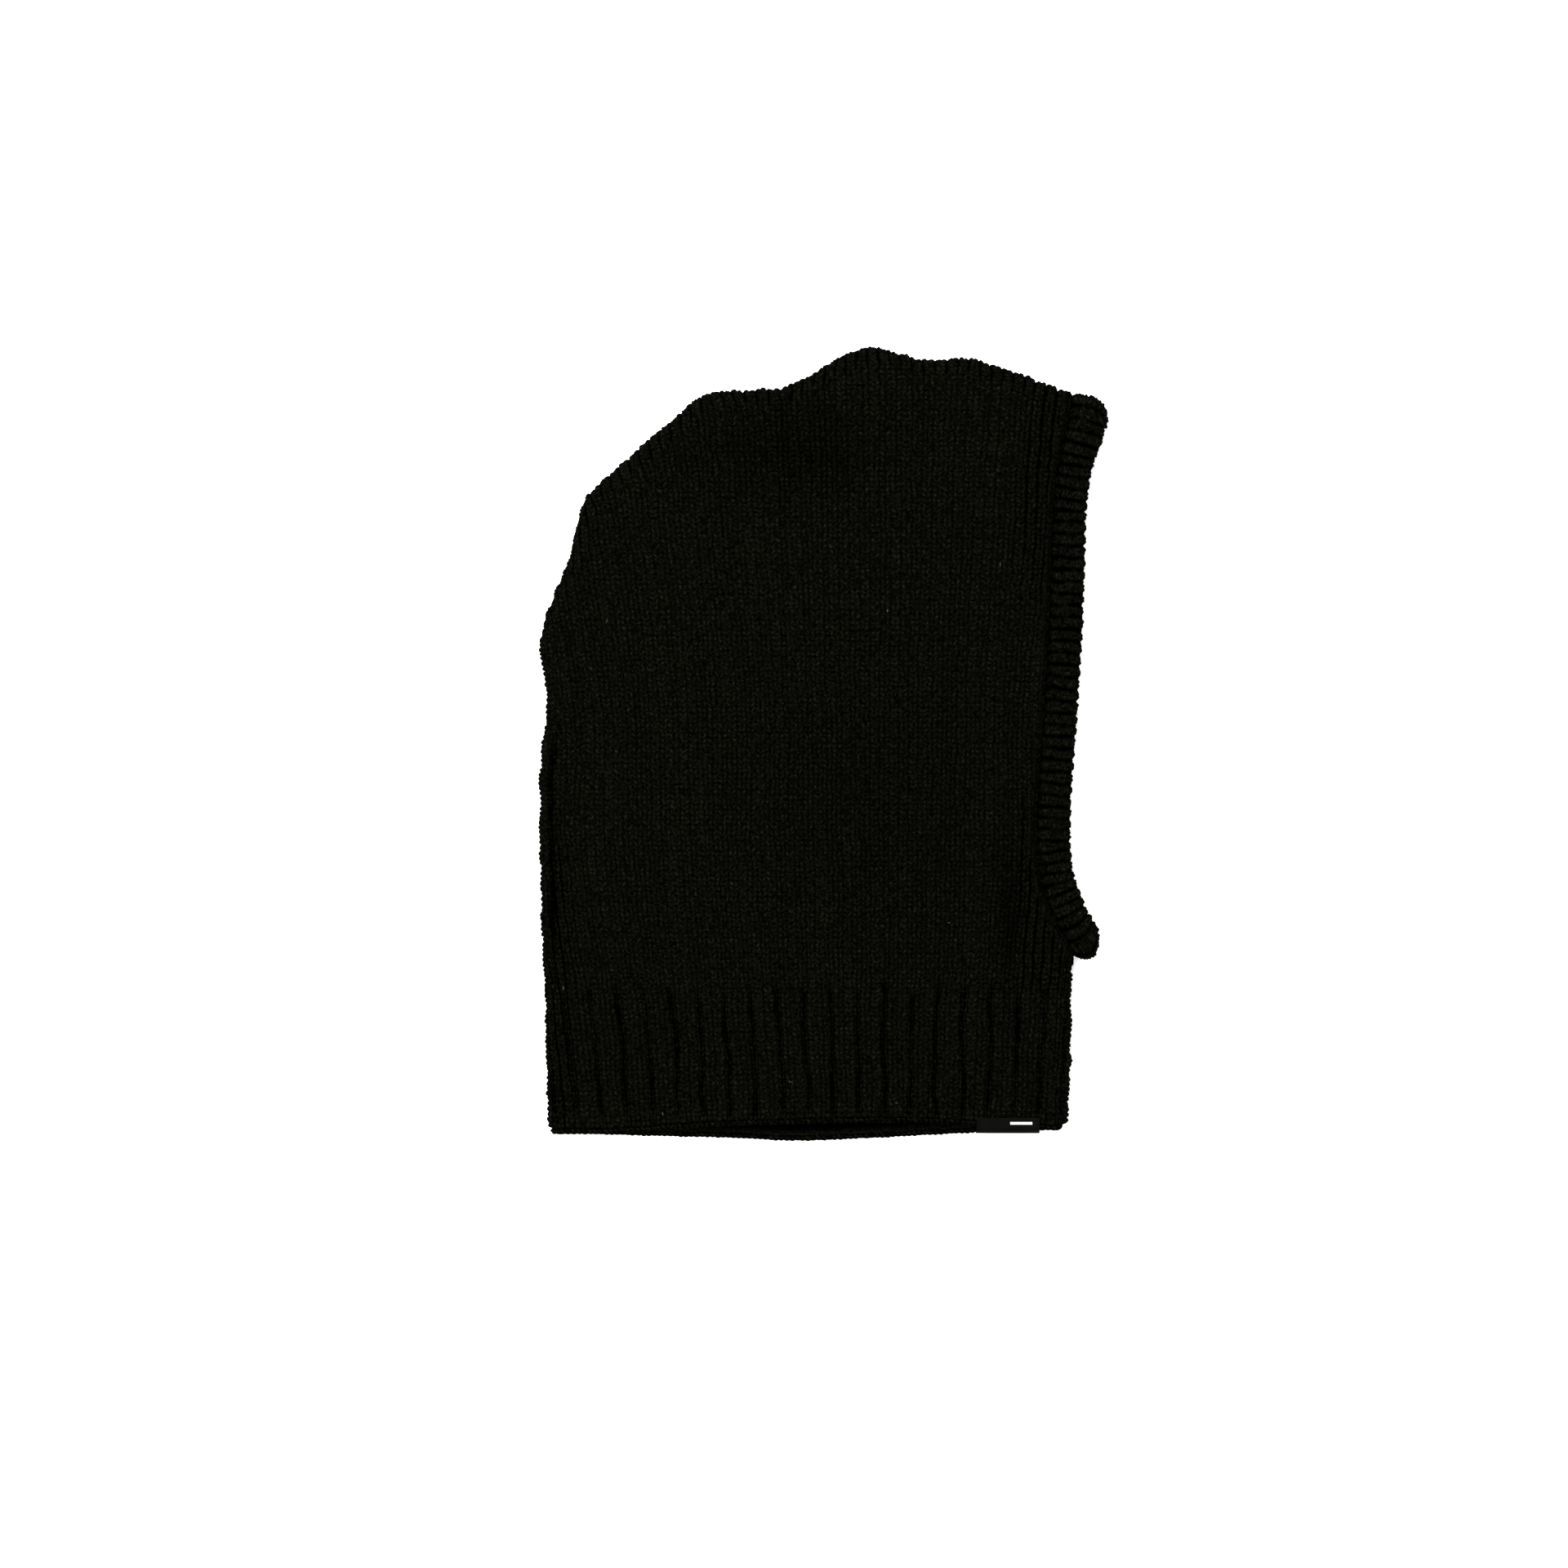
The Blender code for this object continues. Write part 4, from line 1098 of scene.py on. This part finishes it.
def make_mark(mark):
    """The plain woven bar: satin stitches side by side."""
    low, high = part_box("label_mark")
    count = round((high[0] - low[0]) / MARK_PITCH)
    places = low[0] + MARK_PITCH * (np.arange(count) + 0.5)
    z = (low[2] + high[2]) / 2
    bars = [rounded_bar((x, low[1], z), (x, high[1], z), MARK_PITCH * MARK_OVERLAP, MARK_SAG)
            for x in places]
    threads_piece("label_mark_satin_stitch", bars, mark, "label_mark")


def make_label(satin, thread, mark):
    label, size = make_tab(satin)
    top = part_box("hem_label")[1][2]
    for row in ("back", "front"):
        make_label_stitches(row, top, thread)
    make_mark(mark)


# Loose fibres


def fibre(root, way, bend, length, radius):
    """The seven points of one loose fibre: a bent three-sided spike."""
    side = unit(np.cross(way, (0.31, 0.52, 0.79)))
    up = np.cross(way, side)
    points = []
    for share in (0, 0.5):
        centre = root + way * length * share + bend * length * share**2
        for k in range(3):
            angle = 2 * math.pi * k / 3
            spoke = math.cos(angle) * side + math.sin(angle) * up
            points.append(centre + radius * (1 - FUZZ_TAPER * share) * spoke)
    points.append(root + way * length + bend * length)
    return points


FIBRE_QUADS = np.array([(0, 1, 4, 3), (1, 2, 5, 4), (2, 0, 3, 5)])
FIBRE_TRIANGLES = np.array([(2, 1, 0), (3, 4, 6), (4, 5, 6), (5, 3, 6)])


def make_fuzz(name, roots, normals, finish, seed, length=FUZZ_LENGTH, radius=FUZZ_RADIUS):
    """Loose ends of fibre that stand out of the yarn at these points."""
    random = np.random.default_rng(seed)
    points = []
    for root, normal in zip(roots, normals):
        lean, bend = random.normal(size=(2, 3))
        way = unit(normal + FUZZ_LEAN * lean)
        reach = length * random.uniform(FUZZ_SHORTEST, 1.0)
        points.extend(fibre(root - normal * FUZZ_SUNK, way, FUZZ_BEND * bend, reach, radius))
    points = np.array(points)
    points[:, 2] = np.maximum(points[:, 2], FUZZ_FLOOR)
    starts = 7 * np.arange(len(roots))[:, None, None]
    faces = [(FIBRE_QUADS + starts).reshape(-1, 4), (FIBRE_TRIANGLES + starts).reshape(-1, 3)]
    return add_piece(name, mesh_of(name, points, faces), finish)


def lattice_fuzz(name, lattice, count, finish, seed):
    """Fuzz over one knitted layer, denser where the cloth rolls over its edges."""
    random = np.random.default_rng(seed)
    inside = lattice["inside"] & (lattice["height"] > LEAST_FUZZY)
    facing = np.abs(lattice["normal"][..., 2])
    weight = np.where(inside, 1 + EDGE_FUZZ * (1 - facing), 0).ravel()
    chosen = random.choice(len(weight), count, replace=False, p=weight / weight.sum())
    roots, normals = lattice["outer"].reshape(-1, 3)[chosen], lattice["normal"].reshape(-1, 3)[chosen]
    make_fuzz(name, roots, normals, finish, seed + 1)


def cord_fuzz(name, path, radius, count, finish, seed):
    """Fuzz along a chain of stitches."""
    random = np.random.default_rng(seed)
    run = lengths_along(path)
    centres = points_at(path, random.uniform(0, run[-1], count))
    angles = random.uniform(0, 2 * math.pi, count)
    normals = np.column_stack([0.15 * random.normal(size=count), np.cos(angles), np.sin(angles)])
    make_fuzz(name, centres + unit(normals) * radius, unit(normals), finish, seed + 1)


def make_lint(lattice, finish):
    """A few pale specks of lint that cling to the upper layer."""
    random = np.random.default_rng(70)
    roots, normals = [], []
    for x, y in LINT:
        away = np.where(lattice["inside"], np.hypot(lattice["outer"][..., 0] - x * MM,
                                                    lattice["outer"][..., 1] - y * MM), 1)
        nearest = np.unravel_index(away.argmin(), away.shape)
        for _ in range(LINT_FIBRES):
            spin = random.uniform(0, 2 * math.pi)
            roots.append(lattice["outer"][nearest] + (0, 0, 0.5 * MM))
            normals.append(unit(np.array([math.cos(spin), math.sin(spin), 0.1])))
    make_fuzz("lint_specks", roots, normals, finish, 71, LINT_LENGTH, LINT_RADIUS)


# Materials


def new_material(name, roughness, specular):
    """(material, nodes, links, shader) of a material to which textures are added."""
    made = bpy.data.materials.new(name)
    made.use_nodes = True
    shader = made.node_tree.nodes["Principled BSDF"]
    shader.inputs["Roughness"].default_value = roughness
    shader.inputs["Specular IOR Level"].default_value = specular
    return made, made.node_tree.nodes, made.node_tree.links, shader


def noise_texture(nodes, links, vector, scale, detail):
    noise = nodes.new("ShaderNodeTexNoise")
    noise.inputs["Scale"].default_value = scale
    noise.inputs["Detail"].default_value = detail
    links.new(vector, noise.inputs["Vector"])
    return noise


def two_tones(nodes, links, value, tones):
    """A ramp between two (position, colour) tones."""
    ramp = nodes.new("ShaderNodeValToRGB")
    for element, (position, colour) in zip(ramp.color_ramp.elements, tones):
        element.position = position
        element.color = (*colour, 1)
    links.new(value, ramp.inputs["Fac"])
    return ramp.outputs["Color"]


def bumped(nodes, links, shader, height, strength, distance):
    bump = nodes.new("ShaderNodeBump")
    bump.inputs["Strength"].default_value = strength
    bump.inputs["Distance"].default_value = distance
    links.new(height, bump.inputs["Height"])
    links.new(bump.outputs["Normal"], shader.inputs["Normal"])


def wool(name, colour, groove_shade):
    """Matt, near-black yarn, with painted shade that darkens it down in the grooves, and fibres along each leg
    of a stitch.
    """
    made, nodes, links, shader = new_material(name, 0.95, 0.02)
    shader.inputs["Sheen Weight"].default_value = 0.004
    shader.inputs["Sheen Roughness"].default_value = 0.5
    height = nodes.new("ShaderNodeAttribute")
    height.attribute_name = "height"
    # Painted shade: the base colour falls to groove_shade of itself where the attribute is low, down in the
    # grooves, and is full on the crests
    groove = [c * groove_shade for c in colour]
    shaded = two_tones(nodes, links, height.outputs["Fac"], [(0.2, groove), (0.9, colour)])
    place = nodes.new("ShaderNodeTexCoord").outputs["Object"]
    patches = noise_texture(nodes, links, place, 760, 4)
    patches.inputs["Roughness"].default_value = 0.7
    spread = nodes.new("ShaderNodeMapRange")
    for socket, value in (("From Min", 0.39), ("From Max", 0.68), ("To Min", 0.08), ("To Max", 2.5)):
        spread.inputs[socket].default_value = value
    links.new(patches.outputs["Fac"], spread.inputs["Value"])
    mixed = nodes.new("ShaderNodeVectorMath")
    mixed.operation = "SCALE"
    links.new(shaded, mixed.inputs[0])
    links.new(spread.outputs["Result"], mixed.inputs["Scale"])
    links.new(mixed.outputs["Vector"], shader.inputs["Base Color"])

    stitches = nodes.new("ShaderNodeUVMap")
    stitches.uv_map = "stitches"
    stretch = nodes.new("ShaderNodeMapping")
    stretch.inputs["Scale"].default_value = (1.5, 13, 1)
    links.new(stitches.outputs["UV"], stretch.inputs["Vector"])
    added = nodes.new("ShaderNodeMath")
    links.new(noise_texture(nodes, links, stretch.outputs["Vector"], 1.0, 3).outputs["Fac"], added.inputs[0])
    links.new(noise_texture(nodes, links, place, 2600, 5).outputs["Fac"], added.inputs[1])
    bumped(nodes, links, shader, added.outputs["Value"], 0.8, 0.25 * MM)
    return made


def satin_weave(name, colour, roughness, specular, threads):
    """Smooth woven or stitched thread: fine diagonal ribs, with a soft gloss."""
    made, nodes, links, shader = new_material(name, roughness, specular)
    place = nodes.new("ShaderNodeTexCoord").outputs["Object"]
    noise = noise_texture(nodes, links, place, 90, 6)
    tones = [(position, [c * share for c in colour]) for position, share in ((0.3, 0.65), (0.7, 1.3))]
    links.new(two_tones(nodes, links, noise.outputs["Fac"], tones), shader.inputs["Base Color"])
    weave = nodes.new("ShaderNodeTexWave")
    weave.wave_type = "BANDS"
    weave.bands_direction = "DIAGONAL"
    weave.inputs["Scale"].default_value = threads
    weave.inputs["Distortion"].default_value = 0.4
    links.new(place, weave.inputs["Vector"])
    bumped(nodes, links, shader, weave.outputs["Fac"], 0.5, 0.08 * MM)
    return made


def plain(name, colour, roughness):
    made = bpy.data.materials.new(name)
    made.use_nodes = True
    shader = made.node_tree.nodes["Principled BSDF"]
    shader.inputs["Base Color"].default_value = (*colour, 1)
    shader.inputs["Roughness"].default_value = roughness
    return made


# Stage


def make_camera():
    camera = bpy.data.objects.new("camera", bpy.data.cameras.new("camera"))
    bpy.context.scene.collection.objects.link(camera)
    camera.location = (*PICTURE_CENTRE, CAMERA_HEIGHT)
    low, high = CAD_BOX
    middle_z = (low.z + high.z) / 2
    camera.data.lens = camera.data.sensor_width * (CAMERA_HEIGHT - middle_z) / PICTURE_WIDTH
    camera.data.clip_end = 50
    bpy.context.scene.camera = camera


def area_light(name, place, size, power, aim=(0, 0, 0)):
    light = bpy.data.objects.new(name, bpy.data.lights.new(name, "AREA"))
    bpy.context.scene.collection.objects.link(light)
    light.data.shape = "DISK"
    light.data.size = size
    light.data.energy = power
    light.location = place
    light.rotation_euler = (Vector(aim) - Vector(place)).to_track_quat("-Z", "Y").to_euler()


def make_stage():
    mesh = bpy.data.meshes.new("floor")
    reach = 12
    mesh.from_pydata([(-reach, -reach, 0), (reach, -reach, 0), (reach, reach, 0), (-reach, reach, 0)], [],
                     [(0, 1, 2, 3)])
    floor = bpy.data.objects.new("floor", mesh)
    floor.location.z = -0.0002
    bpy.context.scene.collection.objects.link(floor)
    pale = plain("pale_floor", (0.9, 0.9, 0.9), 0.8)
    shader = pale.node_tree.nodes["Principled BSDF"]
    shader.inputs["Emission Color"].default_value = (1, 1, 1, 1)
    shader.inputs["Emission Strength"].default_value = 0.5
    mesh.materials.append(pale)
    world = bpy.data.worlds.new("studio")
    bpy.context.scene.world = world
    world.use_nodes = True
    world.node_tree.nodes["Background"].inputs["Color"].default_value = (1, 1, 1, 1)
    world.node_tree.nodes["Background"].inputs["Strength"].default_value = 1.0
    area_light("overhead_soft_light", (-0.5, 0.4, 1.95), 1.1, 38)
    bpy.context.scene.view_settings.view_transform = "Standard"
    bpy.context.scene.view_settings.gamma = 0.62


def main():
    make_camera()
    make_stage()
    stockinette, rib = (wool(name, (0.0225, 0.0227, 0.0148), 0.02)
                        for name in ("black_wool_stockinette", "black_wool_rib"))
    yarn = wool("black_wool_seam_yarn", (0.0130, 0.0130, 0.0090), 0.2)
    satin = satin_weave("black_label_satin", (0.0125, 0.0128, 0.0095), 0.45, 0.08, 400)
    thread = satin_weave("black_label_thread", (0.014, 0.014, 0.012), 0.6, 0.1, 900)
    mark = satin_weave("white_mark_thread", (0.8, 0.8, 0.78), 0.6, 0.3, 900)
    lint = satin_weave("pale_lint", (0.35, 0.33, 0.28), 0.9, 0.1, 900)
    for seed, (name, upper) in enumerate((("left", False), ("right", True))):
        lattice = make_lattice(upper)
        lattice["shade"] = faced_normals(lattice["outer"], lattice["normal"])
        top = RIB_COURSES + BODY_COURSES
        for part, first, last, finish, slot, node in (
            ("neck_rib_knit", 0, RIB_COURSES, rib, "rib_knit", "neck_rib"),
            ("hood_knit_lower", RIB_COURSES, SPLIT_COURSE, stockinette, "stockinette", "side_panel"),
            ("hood_knit_upper", SPLIT_COURSE, top, stockinette, "stockinette", "side_panel"),
        ):
            obj, size, area = knit_piece(f"{name}_{part}", lattice, first, last, finish,
                                         [f"{name}_{node}"])
        lattice_fuzz(f"{name}_hood_fuzz", lattice, LAYER_FIBRES, rib, 80 + 10 * seed)
    make_lint(lattice, lint)
    make_band(rib)
    make_cords(yarn, rib)
    make_label(satin, thread, mark)


main()
